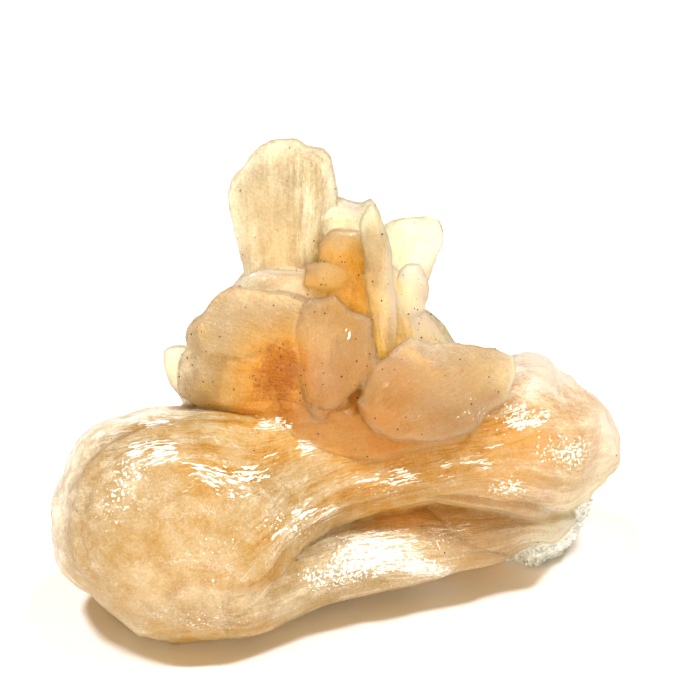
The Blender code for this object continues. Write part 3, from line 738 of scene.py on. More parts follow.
def make_blade(name, corners, normal, thickness, root, warmth, seed, spacing=0.45, steps=1.0, facets=None):
    """A tabular crystal on a plane: corners and root in space, normal towards its better face."""
    rng = np.random.default_rng(seed)
    middle = corners.mean(axis=0)
    side = np.cross(VERTICAL, -normal)
    side /= np.linalg.norm(side)
    plane = np.stack((side, np.cross(normal, side)), axis=1)
    flat_corners = (corners - middle) @ plane
    flat_root = (root - middle) @ plane
    heart = area_middle(flat_corners)
    rim = even_outline(flat_corners, spacing, seed)
    count = len(rim)
    rings = max(8, int(np.linalg.norm(rim - heart, axis=1).max() / spacing / 1.3))
    front_shares = np.linspace(0, 1, rings + 1)[1:]
    back_shares = np.linspace(1, 0, rings // 2 + 1)[:-1]
    half, rim_half = thickness / 2, RIM_SHARE * thickness
    sides = []
    for shares, sign, faces_cut in ((front_shares, 1, facets or random_facets(rng)),
                                    (back_shares, -1, random_facets(rng))):
        flat = (heart + (rim - heart)[None] * shares[:, None, None]).reshape(-1, 2)
        flat = np.vstack((flat, heart))
        distances = edge_distances(flat, flat_corners)
        height = sign * faceted_height(flat - heart, distances, rng, rim_half, half, faces_cut)
        sides.append((flat, height, distances.min(axis=1)))
    flat, height, from_rim = (np.concatenate((front[:-1], back[:-1], front[-1:], back[-1:]))
                              for front, back in zip(*sides))
    from_rim[-2:] = from_rim.max()
    near_rim = smooth_step(from_rim, 0, RELIEF_FROM_RIM)

    # The fibres fan out from the root, and growth stopped in terraces and in arcs round it
    away = flat - flat_root
    radius = np.linalg.norm(away, axis=1)
    bearing = np.arctan2(away[:, 1], away[:, 0])
    bearing = (bearing - bearing[-1] + pi) % (2 * pi) - pi
    lateral = bearing * np.linalg.norm(heart - flat_root)
    flow = np.stack((radius, lateral, height + 7.7 * seed), axis=1)
    growth = terraced(1.3 * rough_noise(flow / TERRACE_SIZE, 2, seed + 1), TERRACE_STEP) * 0.4 * steps
    arcs = np.stack((radius / 7, lateral / 12, 0 * radius + seed), axis=1)
    ends = radius / 9 + 1.2 * soft_noise(arcs, seed + 2)
    ends = (terraced(ends, END_STEP) - ends) * 0.2 * steps
    threads = FINE_THREAD_RISE * rough_noise(flow / FINE_THREAD_SIZE, 2, seed + 3)
    solid = np.stack((flat[:, 0], flat[:, 1], height), axis=1)
    waxy = 0.16 * soft_noise(solid / 4.5, seed + 4) + 0.07 * rough_noise(solid / 1.6, 2, seed + 5)
    height = height + np.sign(height) * (growth + ends + threads + waxy) * near_rim
    points = middle + flat @ plane.T + height[:, None] * normal
    zones = colour_zones(points, np.full(len(points), warmth), np.exp(-from_rim / THIN_FROM_RIM))
    fibre = STRIATED.get(name, PLAIN_FIBRE)
    if name == "tall_blade":
        fibre = fibre + 0.75 * smooth_step(in_view(points)[:, 0], -15, -9)
    # Painted shade along the rim, joined with the dark cracks
    rim_shade = PAINTED_RIM_SHADE * np.exp(-(from_rim / PAINTED_RIM_SHADE_WIDTH) ** 2)
    cracks_and_rim_shade = np.maximum(flaw_marks(points, name), rim_shade)
    marks = np.stack((fibre * near_rim, cloud_marks(points), cracks_and_rim_shade,
                      0 * height + LESS_CLEAR.get(name, BLADE_CLEAR)), axis=1)
    points[:, 2] = np.maximum(points[:, 2], 0)
    total = count * (len(front_shares) + len(back_shares))
    faces = tube_faces(len(front_shares) + len(back_shares), count, total, total + 1)
    turns = np.sign(np.cross(rim - heart, np.roll(rim, -1, axis=0) - heart).sum())
    if turns > 0:
        faces = [face[::-1] for face in faces]
    return Growth(name, points, faces, flow, zones, marks)


# Blades with strong fibres over the whole face, and how strong these are
STRIATED = {"white_blade": 1.0, "rough_blade": 0.8, "wedge_blade": 0.8, "lemon_blade": 0.5}
# Blades that let less light through than the others
LESS_CLEAR = {"tall_blade": 0.5, "left_blade": 0.45}
# Dark cracks in the blades: lines of places in the view, and how wide each is
FLAWS = {
    "left_blade": (((-26.5, -1.8), (-22, -1.4), (-18.5, -0.3), (-15.5, 1.8)), 0.55),
    "tall_blade": (((-6.2, 24.8), (-5.2, 23.4), (-4.9, 21.5)), 0.4),
}


def flaw_marks(points, name):
    """How dark a crack makes each point of a blade."""
    if name not in FLAWS:
        return np.zeros(len(points))
    line, wide = FLAWS[name]
    view = in_view(points)
    line = np.array(line, dtype=float)
    line = np.vstack((line, line[::-1][1:-1]))
    away = edge_distances(view, line).min(axis=1)
    return np.exp(-(away / wide) ** 2) * (0.6 + 0.4 * soft_noise(points / 0.8, 3))


print("fibres show plainly on:", ", ".join(STRIATED))

# %% [markdown]
# ## The blades in this crown
# Fourteen blades can be told apart from the front, so each is given by its own outline. Two broader
# bodies, a core and a foot, lie behind and between them and join them to the sheaf, as the real
# crystals grow out of one mass. Blades placed by a random rule would be quicker to write, but this
# crown is known by its blades.

# %% Blades seen from the front
# Outlines in the view, across and up from its middle
TALL = ((-21, 8), (-22.5, 16.5), (-24, 22.5), (-25.5, 28.5), (-26, 32.5), (-25.5, 35.5), (-22.5, 39.5),
        (-18.5, 44), (-15.5, 45), (-11, 45), (-9, 43.5), (-6.5, 43), (-4.5, 42), (-3.5, 39.5),
        (-2.5, 32.5), (-4, 22), (-6, 8))
ROUGH = ((-7, 17), (-6.5, 30), (-3.5, 32.5), (-1, 32), (1, 31.5), (2.5, 31), (4, 32), (6, 31), (7, 26.5),
         (6.5, 15))
SLENDER = ((5.5, -3), (4.5, 7), (3.5, 14), (3, 20), (2, 25.5), (2.5, 28.5), (4, 31), (5.5, 30.5), (7, 27),
           (8.5, 23), (9, 17), (10, 8.5), (10, -3))
LEMON = ((5, 8), (6.5, 26), (10.5, 28), (13.5, 28.5), (16.5, 28), (19, 27.5), (20, 25), (20, 22.5),
         (18.5, 20), (17, 16), (15, 8))
WHITE = ((9, -4), (9.5, 10.5), (10, 16), (11, 17.5), (13, 18.5), (15, 18), (16.5, 15.5), (16.5, 12.5),
         (16, 8.5), (15, -4))
WEDGE = ((8, 0), (13, 9), (15.5, 9), (17.5, 6.5), (19.5, 4), (21.5, 1.5), (22.5, -5), (10.5, -6))
RIGHT = ((4.5, -3.5), (9, -0.5), (12.5, 2.5), (16, 1.5), (25, 1), (30, 0.5), (34.5, -1.5), (35, -5),
         (34, -8.5), (33, -11), (29, -13.5), (28, -15.5), (25.5, -17.5), (19, -19.5), (14, -19.5),
         (8.5, -19), (4, -16.5), (1.5, -12))
LEFT = ((-2, 8), (-12.5, 12), (-17.5, 12.5), (-25.5, 13.5), (-28, 12.5), (-31.5, 7.5), (-34.5, 5),
        (-34.5, 1), (-36, -1.5), (-36.5, -8.5), (-35.5, -10), (-32.5, -11.5), (-23.5, -13),
        (-12.5, -14.5), (0, -14))
SMALL_LEFT = ((-30, 0), (-35.5, 1), (-38, 1), (-39.5, 0), (-39.5, -3), (-38, -7.5), (-36, -10),
              (-34, -14), (-28, -14))
CENTRE = ((-10.5, 9.5), (-7.5, 11), (-3, 11.5), (0, 8.5), (4.5, 7), (5, 3), (6, -1.5), (6.5, -3.5),
          (4, -6), (0.5, -9.5), (-2.5, -12), (-5, -13), (-9.5, -11), (-11.5, -4), (-12.5, 4))
TIP = ((-11, -6), (-5, -8), (-4, -13), (-5, -16), (-7, -15.5), (-9.5, -12))
BAR = ((-10, 13.5), (-9.5, 18.5), (-6.5, 19), (-2, 19.5), (0, 18), (0.5, 14.5), (-1, 12.5), (-6, 12))
SHELF = ((-24, 10.5), (-25, 14), (-22.5, 15.5), (-18.5, 17), (-10.5, 16.5), (-2, 15), (2, 9), (-8, 8.5),
         (-15, 10))
ORANGE = ((-7, 2), (-6.5, 22), (-4, 25.5), (2.5, 25), (6, 17), (9, 2))
CORE = ((-28, 8), (-18, 12), (-6, 20), (4, 21), (12, 16), (17, 6), (24, -4), (28, -14), (18, -24),
        (-26, -24), (-33, -14))
# The mass between the blades and the sheaf
FOOT = ((-32, -9), (-28, -3), (-10, -3), (0, -7), (8, -9), (24, -13), (27, -19), (10, -24), (-24, -22),
        (-31, -15))
# Name: outline, depth, turn, lean, thickness, root of its fibres in the view, warmth, step height
SEEN_BLADES = {
    "tall_blade": (TALL, -3, -8, 6, 8, (-12, -70), 0.27, 1.0),
    "rough_blade": (ROUGH, -2, 5, 4, 9, (0, -20), 0.22, 2.6),
    "slender_prism": (SLENDER, -9, 12, 6, 5, (8, -160), 0.3, 0.8),
    "lemon_blade": (LEMON, 4, -10, 0, 5, (2, -30), 0.08, 1.2),
    "white_blade": (WHITE, 0, 14, 2, 4.5, (11, -120), -0.05, 1.0),
    "wedge_blade": (WEDGE, 3, 10, 5, 7, (0, 30), 0.3, 0.8),
    "right_blade": (RIGHT, -5.5, 16, 24, 9.5, (-12, -26), 0.42, 0.8),
    "left_blade": (LEFT, -5.5, -7, 8, 9.5, (14, -8), 0.46, 0.8),
    "small_left_blade": (SMALL_LEFT, 4, -20, 0, 5, (-8, -12), 0.16, 0.8),
    "centre_blade": (CENTRE, -9.5, 4, 16, 7, (0, -50), 0.42, 1.3),
    "centre_tip": (TIP, -7.5, 20, 10, 4, (-12, 30), 0.44, 0.6),
    "bar_crystal": (BAR, -8.5, 0, 12, 5, (-80, 15), 0.5, 1.2),
    "shelf_blade": (SHELF, -5, 0, 46, 6, (-60, 2), 0.16, 1.0),
    "crown_foot": (FOOT, -1, 0, 8, 14, (-140, -25), 0.52, 0.6),
    "orange_blade": (ORANGE, -4.5, 10, 10, 10, (0, -40), 0.6, 1.0),
    "crown_core": (CORE, 6, 0, 10, 20, (0, -50), 0.6, 1.0),
}

# Broad facets that show plainly: bearing from the right, start as a share of the way out, slope
OWN_FACETS = {
    "tall_blade": ((-4, 0.3, 0.42), (72, 0.72, 0.5), (140, 0.7, 0.3), (184, 0.75, 0.5)),
    "right_blade": ((35, 0.45, 0.12), (100, 0.5, 0.35), (205, 0.3, 0.15), (-75, 0.35, 0.3)),
    "left_blade": ((100, 0.35, 0.2), (165, 0.5, 0.3), (215, 0.45, 0.3), (-80, 0.3, 0.35)),
    "slender_prism": ((0, 0.25, 0.9), (180, 0.25, 0.9), (85, 0.85, 0.5)),
    "white_blade": ((0, 0.3, 0.5), (180, 0.3, 0.5), (90, 0.7, 0.4)),
}

for index, (name, values) in enumerate(SEEN_BLADES.items()):
    outline, depth, turn, lean, thickness, root, warmth, steps = values
    normal = facing(turn, lean)
    mean = np.array(outline, dtype=float).mean(axis=0)
    middle = at_depth(mean[0], mean[1], depth)
    corners = on_plane(outline, middle, normal)
    root = on_plane((root,), middle, normal)[0]
    blade = make_blade(name, corners, normal, thickness, root, warmth, 40 + index, steps=steps,
                       facets=OWN_FACETS.get(name))
    growths.append(blade)
print(len(SEEN_BLADES) - 2, "blades seen from the front, a core and a foot")

# %% [markdown]
# ## The blades at the back
# Each is the usual stilbite blade, a little wider near its end than at its foot, stood on the far slope of
# the sheaf and leaned back. They repeat one outline, turned and sized one by one, because five of them
# would show any regular spacing.

# %% Blades at the back
# Middle x, y, z, turn, lean, roll, height, width, thickness
FAR_BLADES = (
    (-14, 13, 62, 196, 12, 14, 32, 22, 7), (5, 15, 63, 172, 6, -8, 34, 20, 6.5),
    (19, 14, 55, 150, 22, -34, 30, 18, 6.5), (-22, 9, 56, 222, 20, 24, 24, 18, 6),
    (-3, 20, 54, 184, 30, 4, 26, 24, 7),
)
# Shares of the width and the height
BLADE_SHAPE = np.array((
    (-0.34, -0.5), (-0.5, 0.08), (-0.44, 0.3), (-0.2, 0.5), (0.22, 0.46), (0.46, 0.24), (0.5, 0.02),
    (0.32, -0.5),
))
FAR_WARMTH, FAR_SPACING = 0.24, 0.6
# The fibres fan out from a root this many heights below the middle
ROOT_REACH = 2.2

for index, (x, y, z, turn, lean, roll, high, wide, thickness) in enumerate(FAR_BLADES):
    normal = facing(turn, lean)
    level = np.cross(normal, VERTICAL)
    level /= np.linalg.norm(level)
    turned = radians(roll)
    side = level * cos(turned) + np.cross(normal, level) * sin(turned)
    rise = np.cross(side, normal)
    middle = np.array((x, y, z)) + CENTRING
    shape = BLADE_SHAPE * (wide, high)
    corners = middle + shape[:, :1] * side + shape[:, 1:] * rise
    root = middle - rise * high * ROOT_REACH
    blade = make_blade(f"far_blade_{index}", corners, normal, thickness, root, FAR_WARMTH, 80 + index,
                       spacing=FAR_SPACING)
    growths.append(blade)
print(len(FAR_BLADES), "blades at the back")

# %% [markdown]
# ## Fusing the crystals
# The crystals grew through one another, so there are no gaps or inner walls between them, and light
# soaks from one into the next. All of them are joined and wrapped in one skin by a voxel remesh,
# which is then thinned where it is flat. Leaving them as separate crossing shells would be simpler,
# but a dark line would show wherever two of them cross. Each point of the skin takes its fibres and
# zones from the nearest point of the crystal that it wraps.

# %% One skin
# Millimetres, and the share of its triangles that the skin keeps
VOXEL = 0.4
KEEP_SHARE = 0.32


def fuse(name, growths):
    """Wraps all the growths in one mesh; gives its object and, for each point, the nearest source."""
    offsets = np.cumsum([0] + [len(growth.points) for growth in growths])
    faces = [[corner + start for corner in face]
             for growth, start in zip(growths, offsets) for face in growth.faces]
    points = np.vstack([growth.points for growth in growths])
    rough = mesh_piece(name + "_rough", points, faces)
    remesh = rough.modifiers.new("skin", 'REMESH')
    remesh.mode = 'VOXEL'
    remesh.voxel_size = VOXEL * MM
    thin = rough.modifiers.new("thin", 'DECIMATE')
    thin.ratio = KEEP_SHARE
    bpy.context.view_layer.update()
    skin = bpy.data.meshes.new_from_object(rough.evaluated_get(bpy.context.evaluated_depsgraph_get()))
    skin.name = name
    bpy.data.objects.remove(rough)
    fused = new_object(name, skin)
    tree = KDTree(len(points))
    for index, point in enumerate(points.tolist()):
        tree.insert(point, index)
    tree.balance()
    places = read_points(skin) / MM
    nearest = np.array([tree.find(place)[1] for place in places.tolist()])
    return fused, nearest, offsets


def neighbour_average(mesh, values, rounds, keep=0.3):
    """Softens values over the mesh, so that zones blend where two crystals meet."""
    edges = np.empty(len(mesh.edges) * 2, dtype=np.int64)
    mesh.edges.foreach_get("vertices", edges)
    here, there = edges.reshape(-1, 2).T
    degree = np.bincount(edges, minlength=len(values))[:, None].astype(float)
    for _ in range(rounds):
        total = np.stack([np.bincount(here, column[there], len(values))
                          + np.bincount(there, column[here], len(values)) for column in values.T], axis=1)
        values = keep * values + (1 - keep) * total / degree
    return values


cluster, nearest, offsets = fuse("stilbite_cluster", growths)
skin = cluster.data
print("skin:", len(skin.vertices), "points,", count_triangles(skin), "triangles")

# %% [markdown]
# ## Colour zones on the skin
# A remeshed skin has no layers of its own, so each point of it takes those of the nearest crystal. The
# zones are then softened along the mesh, because light soaks across a join, while the direction of the
# fibres, the dark cracks and the painted shade lines stay sharp. Blending several near crystals at each
# point would soften them too. One more layer, spots of painted light and shade that make places brighter
# or darker, is laid out on the skin itself.

# %% Zones on the skin
SOFT_ROUNDS = 6
flow, zones, marks = (np.vstack(layer)[nearest] for layer in (
    [growth.flow for growth in growths], [growth.zones for growth in growths],
    [growth.marks for growth in growths]))
zones = neighbour_average(skin, zones, SOFT_ROUNDS)
# Fibre, cloud and clearness are softened; dark flaws and painted shade lines aren't
marks[:, (0, 1, 3)] = neighbour_average(skin, marks[:, (0, 1, 3)], SOFT_ROUNDS)
set_layer(skin, "flow", 'FLOAT_VECTOR', flow)
set_layer(skin, "zones", 'FLOAT_COLOR', np.clip(zones, 0, 1))
set_layer(skin, "marks", 'FLOAT_COLOR', np.clip(marks, 0, 1))
seen = in_view(read_points(skin) / MM)
# Painted light and shade, in spots laid out in the view
set_layer(skin, "bright", 'FLOAT', spot_strength(seen, PAINTED_LIGHT_SPOTS))
set_smooth(skin, True)
source = np.searchsorted(offsets, nearest, side="right") - 1
for growth, count in zip(growths, np.bincount(source)):
    print(f"{growth.name}: {count} points of the skin")

# %% [markdown]
# ## The stilbite finish
# Stilbite is translucent and pearly: light soaks a few millimetres in and comes out warm, thin rims look
# pale lemon, thick roots orange, and cleavage flashes white along the fibres. The finish mixes these by
# the layers on the mesh, and noise stretched along the fibres breaks them up. The white flashes and grains
# are painted highlights, clearer crystals and thin rims are painted brighter partly for the light through
# them, and spots of painted light and shade and painted shade lines brighten or darken places. One finish
# serves every crystal, because they are all one mineral.

# %% Node helpers


class Nodes:
    """Short ways to add and join shader nodes."""

    def __init__(self, name):
        self.material = bpy.data.materials.new(name)
        self.material.use_nodes = True
        self.tree = self.material.node_tree
        self.shader = self.tree.nodes["Principled BSDF"]

    def join(self, source, socket):
        """Links an output to a socket, or sets a plain value on it."""
        if isinstance(source, bpy.types.NodeSocket):
            self.tree.links.new(source, socket)
        elif source is not None:
            socket.default_value = source

    def node(self, kind, **settings):
        made = self.tree.nodes.new("ShaderNode" + kind)
        for key, value in settings.items():
            setattr(made, key, value)
        return made

    def math(self, operation, a, b=None, c=None, clamp=False):
        made = self.node("Math", operation=operation, use_clamp=clamp)
        for socket, value in zip(made.inputs, (a, b, c)):
            self.join(value, socket)
        return made.outputs[0]

    def attribute(self, name):
        return self.node("Attribute", attribute_name=name)

    def channels(self, name):
        """Red, green and blue of a stored colour, then its alpha."""
        stored = self.attribute(name)
        split = self.node("SeparateColor")
        self.join(stored.outputs["Color"], split.inputs[0])
        return (*split.outputs, stored.outputs["Alpha"])

    def stretched(self, vector, scale):
        made = self.node("VectorMath", operation='MULTIPLY')
        self.join(vector, made.inputs[0])
        made.inputs[1].default_value = scale
        return made.outputs[0]

    def noise(self, vector, scale, detail=2.0, roughness=0.5):
        made = self.node("TexNoise")
        self.join(vector, made.inputs["Vector"])
        made.inputs["Scale"].default_value = scale
        made.inputs["Detail"].default_value = detail
        made.inputs["Roughness"].default_value = roughness
        return made.outputs[0]

    def ranged(self, value, low, high, to_low=0.0, to_high=1.0):
        made = self.node("MapRange", interpolation_type='SMOOTHSTEP')
        for socket, item in zip(made.inputs, (value, low, high, to_low, to_high)):
            self.join(item, socket)
        return made.outputs[0]

    def mix(self, share, a, b, blend='MIX'):
        made = self.node("Mix", data_type='RGBA', blend_type=blend)
        self.join(share, made.inputs[0])
        self.join(a, made.inputs[6])
        self.join(b, made.inputs[7])
        return made.outputs[2]

    def ramp(self, value, stops):
        made = self.node("ValToRGB")
        self.join(value, made.inputs[0])
        elements = made.color_ramp.elements
        while len(elements) < len(stops):
            elements.new(0.5)
        for element, (place, colour) in zip(elements, stops):
            element.position = place
            element.color = (*colour, 1)
        return made.outputs[0]

    def bump(self, height, distance, strength, under=None):
        made = self.node("Bump")
        made.inputs["Strength"].default_value = strength
        made.inputs["Distance"].default_value = distance
        self.join(height, made.inputs["Height"])
        self.join(under, made.inputs["Normal"])
        return made.outputs[0]


print("node helpers:", [name for name in vars(Nodes) if not name.startswith("_")])

# %% [markdown]
# ### Colours of the crystal
# From thin to thick the same mineral runs from lemon white through peach and honey to deep orange,
# so a single ramp holds them and the `warm` zone picks the place on it.

# %% The crystal finish
# Tones from thin and pale to thick and warm
CRYSTAL_RAMP = (
    (0.0, (0.88, 0.90, 0.76)), (0.2, (0.70, 0.62, 0.45)), (0.4, (0.59, 0.46, 0.26)),
    (0.58, (0.66, 0.44, 0.16)), (0.78, (0.74, 0.38, 0.06)), (1.0, (0.50, 0.17, 0.002)),
)
# White of the milky veils, and of the painted highlights that stand for cleavage flashes
VEIL_AND_GLINT_WHITE = (0.98, 0.96, 0.92, 1)
MILK = (0.86, 0.76, 0.54, 1)
DARK_FLAW_AND_SHADE = (0.2, 0.09, 0.02, 1)
# Light that passes through turns lemon in 5 mm and orange in 20 mm
SOAK_COLOUR = (0.97, 0.81, 0.2, 1)
SOAK_DENSITY = 100.0
# Light that soaks in and comes out again: its share, its reach in metres, and how far each colour goes
SOFT_SHARE, SOFT_REACH, SOFT_COLOURS = 0.7, 0.0022, (1.0, 0.6, 0.25)
# The pearly surface
IOR, SPECULAR, COAT, COAT_ROUGHNESS = 1.3, 0.4, 0.06, 0.12
# How often the noise repeats along the fibres and across them, per millimetre of `flow`
BROAD, FINE, HAIR, STROKES = (0.04, 0.33, 0.33), (0.11, 1.7, 1.7), (0.2, 5.0, 5.0), (0.12, 2.7, 2.7)
# The same for noise without direction, per metre
MOTTLE, VEIL, BREAKS, GRAINS, FROST = 230.0, 240.0, 900.0, 1500.0, 1700.0
CLOUD_SHARE, FLAW_AND_SHADE_SHARE = 0.75, 0.8
FIBRE_BUMP, FROST_BUMP = 0.0008, 0.00022


def crystal_finish(name):
    """Stilbite from honey to lemon by its zones, with white flashes painted along the fibres as
    highlights.

    The zones and marks pick the tone, noise along the fibres and all over breaks it up, milky clouds and
    thin veils lie over it, and painted highlights in strokes and grains, dark cracks and painted shade
    lines come last.
    """
    nodes = Nodes(name)
    warm, glint, thin, sparkle = nodes.channels("zones")
    fibre, cloud, flaw_and_shade, clear = nodes.channels("marks")
    flow = nodes.attribute("flow").outputs["Vector"]
    place = nodes.node("TexCoord").outputs["Object"]

    broad = nodes.noise(nodes.stretched(flow, BROAD), 1.0, 3.0)
    fine = nodes.noise(nodes.stretched(flow, FINE), 1.0, 3.0, 0.6)
    hair = nodes.noise(nodes.stretched(flow, HAIR), 1.0, 2.0, 0.6)
    mottle = nodes.noise(place, MOTTLE, 4.0, 0.65)
    frost = nodes.noise(place, FROST, 3.0, 0.65)
    threaded = nodes.ranged(fibre, 0.0, 1.0, 0.3, 1.6)
    calm = nodes.ranged(clear, SHEAF_CLEAR, 0.6, 1.0, 0.45)
    # Painted light: clearer crystals are painted brighter, partly for their paler body and partly for
    # light through them, thin rims are painted brighter for the light through them, and the painted light
    # spots add their share
    tone, shade = warm, nodes.ranged(clear, SHEAF_CLEAR, BLADE_CLEAR, 0.76, 1.0)
    shade = nodes.math('MULTIPLY_ADD', thin, 0.25, shade)
    shade = nodes.math('ADD', shade, nodes.attribute("bright").outputs["Fac"])
    # Each layer of noise, how far it moves the tone, how far the brightness, and where it shows
    for layer, tint, dark, share in ((broad, -0.14, 0.10, threaded), (fine, -0.08, 0.10, threaded),
                                     (hair, -0.05, 0.07, threaded), (mottle, -0.2, 0.2, calm),
                                     (frost, -0.07, 0.14, 1.0)):
        swing = nodes.math('MULTIPLY', nodes.ranged(layer, 0.34, 0.66, -0.5, 0.5), share)
        tone = nodes.math('MULTIPLY_ADD', swing, tint, tone)
        shade = nodes.math('MULTIPLY_ADD', swing, dark, shade)
    tone = nodes.math('MULTIPLY_ADD', thin, -0.22, tone, clamp=True)
    colour = nodes.ramp(tone, CRYSTAL_RAMP)
    colour = nodes.mix(nodes.math('MULTIPLY', cloud, CLOUD_SHARE), colour, MILK)
    # Veils are thin lines where a noise passes its middle, and only in some of the bundles
    veil = nodes.math('ABSOLUTE', nodes.math('SUBTRACT', nodes.noise(place, VEIL, 3.0, 0.65), 0.5))
    veil = nodes.ranged(veil, 0.0, 0.014, 0.5, 0.0)
    veil = nodes.math('MULTIPLY', veil, nodes.ranged(broad, 0.46, 0.6))
    colour = nodes.mix(nodes.math('MULTIPLY', veil, calm), colour, VEIL_AND_GLINT_WHITE)
    even = nodes.node("CombineXYZ")
    for socket in even.inputs:
        nodes.join(shade, socket)
    colour = nodes.mix(1.0, colour, even.outputs[0], 'MULTIPLY')

    # Painted highlights: flashes run in strokes along the fibres, with breaks, and the grains between them
    # are short
    strokes = nodes.noise(nodes.stretched(flow, STROKES), 1.0, 2.0, 0.6)
    breaks = nodes.noise(place, BREAKS, 1.0)
    strokes = nodes.math('MULTIPLY_ADD', nodes.math('SUBTRACT', breaks, 0.5), 0.14, strokes)
    flash_low = nodes.ranged(glint, 0.0, 1.0, 0.78, 0.5)
    flash = nodes.ranged(strokes, flash_low, nodes.math('ADD', flash_low, 0.03))
    flash = nodes.math('MULTIPLY', flash, nodes.ranged(glint, 0.05, 0.2))
    grains = nodes.noise(place, GRAINS, 2.0, 0.6)
    grain_low = nodes.ranged(sparkle, 0.0, 1.0, 0.74, 0.47)
    grains = nodes.ranged(grains, grain_low, nodes.math('ADD', grain_low, 0.04))
    flash = nodes.math('MAXIMUM', flash, grains)
    colour = nodes.mix(flash, colour, VEIL_AND_GLINT_WHITE)
    # Dark cracks, and painted shade along the blade rims and under the growth steps
    colour = nodes.mix(nodes.math('MULTIPLY', flaw_and_shade, FLAW_AND_SHADE_SHARE), colour, DARK_FLAW_AND_SHADE)
    nodes.join(colour, nodes.shader.inputs["Base Color"])

    rough = nodes.ranged(fine, 0.3, 0.7, 0.3, 0.5)
    rough = nodes.math('MULTIPLY_ADD', flash, -0.12, rough)
    nodes.join(rough, nodes.shader.inputs["Roughness"])
    height = nodes.math('MULTIPLY_ADD', hair, 0.4, fine)
    height = nodes.math('MULTIPLY', height, nodes.ranged(fibre, 0.0, 1.0, 0.35, 1.0))
    bumped = nodes.bump(height, FIBRE_BUMP, 0.8)
    bumped = nodes.bump(frost, FROST_BUMP, 0.8, bumped)
    nodes.join(bumped, nodes.shader.inputs["Normal"])
    dull = nodes.math('SUBTRACT', 1.0, flash, clamp=True)
    nodes.join(nodes.math('MULTIPLY', dull, SOFT_SHARE), nodes.shader.inputs["Subsurface Weight"])
    nodes.join(nodes.math('MULTIPLY', dull, clear), nodes.shader.inputs["Transmission Weight"])
    for socket, value in (("Subsurface Radius", SOFT_COLOURS), ("Subsurface Scale", SOFT_REACH),
                          ("IOR", IOR), ("Specular IOR Level", SPECULAR), ("Coat Weight", COAT),
                          ("Coat Roughness", COAT_ROUGHNESS)):
        nodes.shader.inputs[socket].default_value = value
    soak = nodes.node("VolumeAbsorption")
    soak.inputs["Color"].default_value = SOAK_COLOUR
    soak.inputs["Density"].default_value = SOAK_DENSITY
    nodes.join(soak.outputs[0], nodes.tree.nodes["Material Output"].inputs["Volume"])
    return nodes.material


finish_piece(cluster, crystal_finish("stilbite"))

# %% [markdown]
# ## Spreading small grains
# The specks on the crystals and the crumbs on the rock are both one small grain, repeated over a
# surface at random. Geometry Nodes spreads them: the tree takes the surface, a density, sizes, a seed
# and the grain, so a change to one number spreads them anew. Placing each grain by a Python loop
# would work too, but would need its own sampling of the surface. The result is a plain mesh.

# %% Node tree helpers


class Tree:
    """Short ways to build a Geometry Nodes tree with named inputs."""

    def __init__(self, name, inputs):
        self.tree = bpy.data.node_groups.new(name, 'GeometryNodeTree')
        face = self.tree.interface
        face.new_socket("Geometry", in_out='INPUT', socket_type='NodeSocketGeometry')
        face.new_socket("Geometry", in_out='OUTPUT', socket_type='NodeSocketGeometry')
        self.values = inputs
        for label, (kind, _) in inputs.items():
            face.new_socket(label, in_out='INPUT', socket_type="NodeSocket" + kind)
        self.source = self.tree.nodes.new("NodeGroupInput")
        self.result = self.tree.nodes.new("NodeGroupOutput")

    def add(self, kind, inputs, **settings):
        """Adds a node; an input may be a number, a socket or the name of one of the tree's inputs."""
        made = self.tree.nodes.new(kind)
        for key, value in settings.items():
            setattr(made, key, value)
        for label, value in inputs.items():
            socket = made.inputs[label]
            if value in ("Geometry", *self.values):
                value = self.source.outputs[value]
            if isinstance(value, bpy.types.NodeSocket):
                self.tree.links.new(value, socket)
            else:
                socket.default_value = value
        return made

    def apply(self, name, host):
        """Runs the tree on a host object and gives a plain mesh object."""
        carrier = new_object(name + "_carrier", host.data)
        modifier = carrier.modifiers.new(name, 'NODES')
        modifier.node_group = self.tree
        for item in self.tree.interface.items_tree:
            if item.item_type == 'SOCKET' and item.in_out == 'INPUT' and item.name in self.values:
                modifier[item.identifier] = self.values[item.name][1]
        evaluated = carrier.evaluated_get(bpy.context.evaluated_depsgraph_get())
        mesh = bpy.data.meshes.new_from_object(evaluated)
        mesh.name = name
        bpy.data.objects.remove(carrier)
        return new_object(name, mesh)


def scatter_tree(name, inputs, share_name):
    """Spreads a shape over a surface, turned and sized at random; an attribute gives the share there."""
    made = Tree(name, inputs)
    share = made.add("GeometryNodeInputNamedAttribute", {"Name": share_name}, data_type='FLOAT')
    amount = made.add("ShaderNodeMath", {0: share.outputs[0], 1: "Density"}, operation='MULTIPLY')
    points = made.add("GeometryNodeDistributePointsOnFaces",
                      {"Mesh": "Geometry", "Density": amount.outputs[0], "Seed": "Seed"})
    shape = made.add("GeometryNodeObjectInfo", {"Object": "Shape"})
    size = made.add("FunctionNodeRandomValue", {2: "Smallest", 3: "Largest", "Seed": "Seed"},
                    data_type='FLOAT')
    turn = made.add("FunctionNodeRandomValue", {0: (-pi, -pi, -pi), 1: (pi, pi, pi), "Seed": "Seed"},
                    data_type='FLOAT_VECTOR')
    tilt = made.add("FunctionNodeEulerToRotation", {0: turn.outputs[0]})
    placed = made.add("GeometryNodeInstanceOnPoints",
                      {"Points": points.outputs["Points"], "Instance": shape.outputs["Geometry"],
                       "Rotation": tilt.outputs[0], "Scale": size.outputs[1]})
    real = made.add("GeometryNodeRealizeInstances", {"Geometry": placed.outputs[0]})
    painted = made.add("GeometryNodeSetMaterial", {"Geometry": real.outputs[0], "Material": "Finish"})
    made.tree.links.new(painted.outputs[0], made.result.inputs[0])
    return made


print("tree helpers:", [name for name in vars(Tree) if not name.startswith("_")])

# %% [markdown]
# ## Specks
# Tiny grains of dark manganese oxide sit on the crystals, most on the crown and a few on the layers
# below it. They are real grains here, because dots drawn in the finish would stretch over the edges.

# %% Dark grains
GRAIN_ROUGHNESS = 0.25


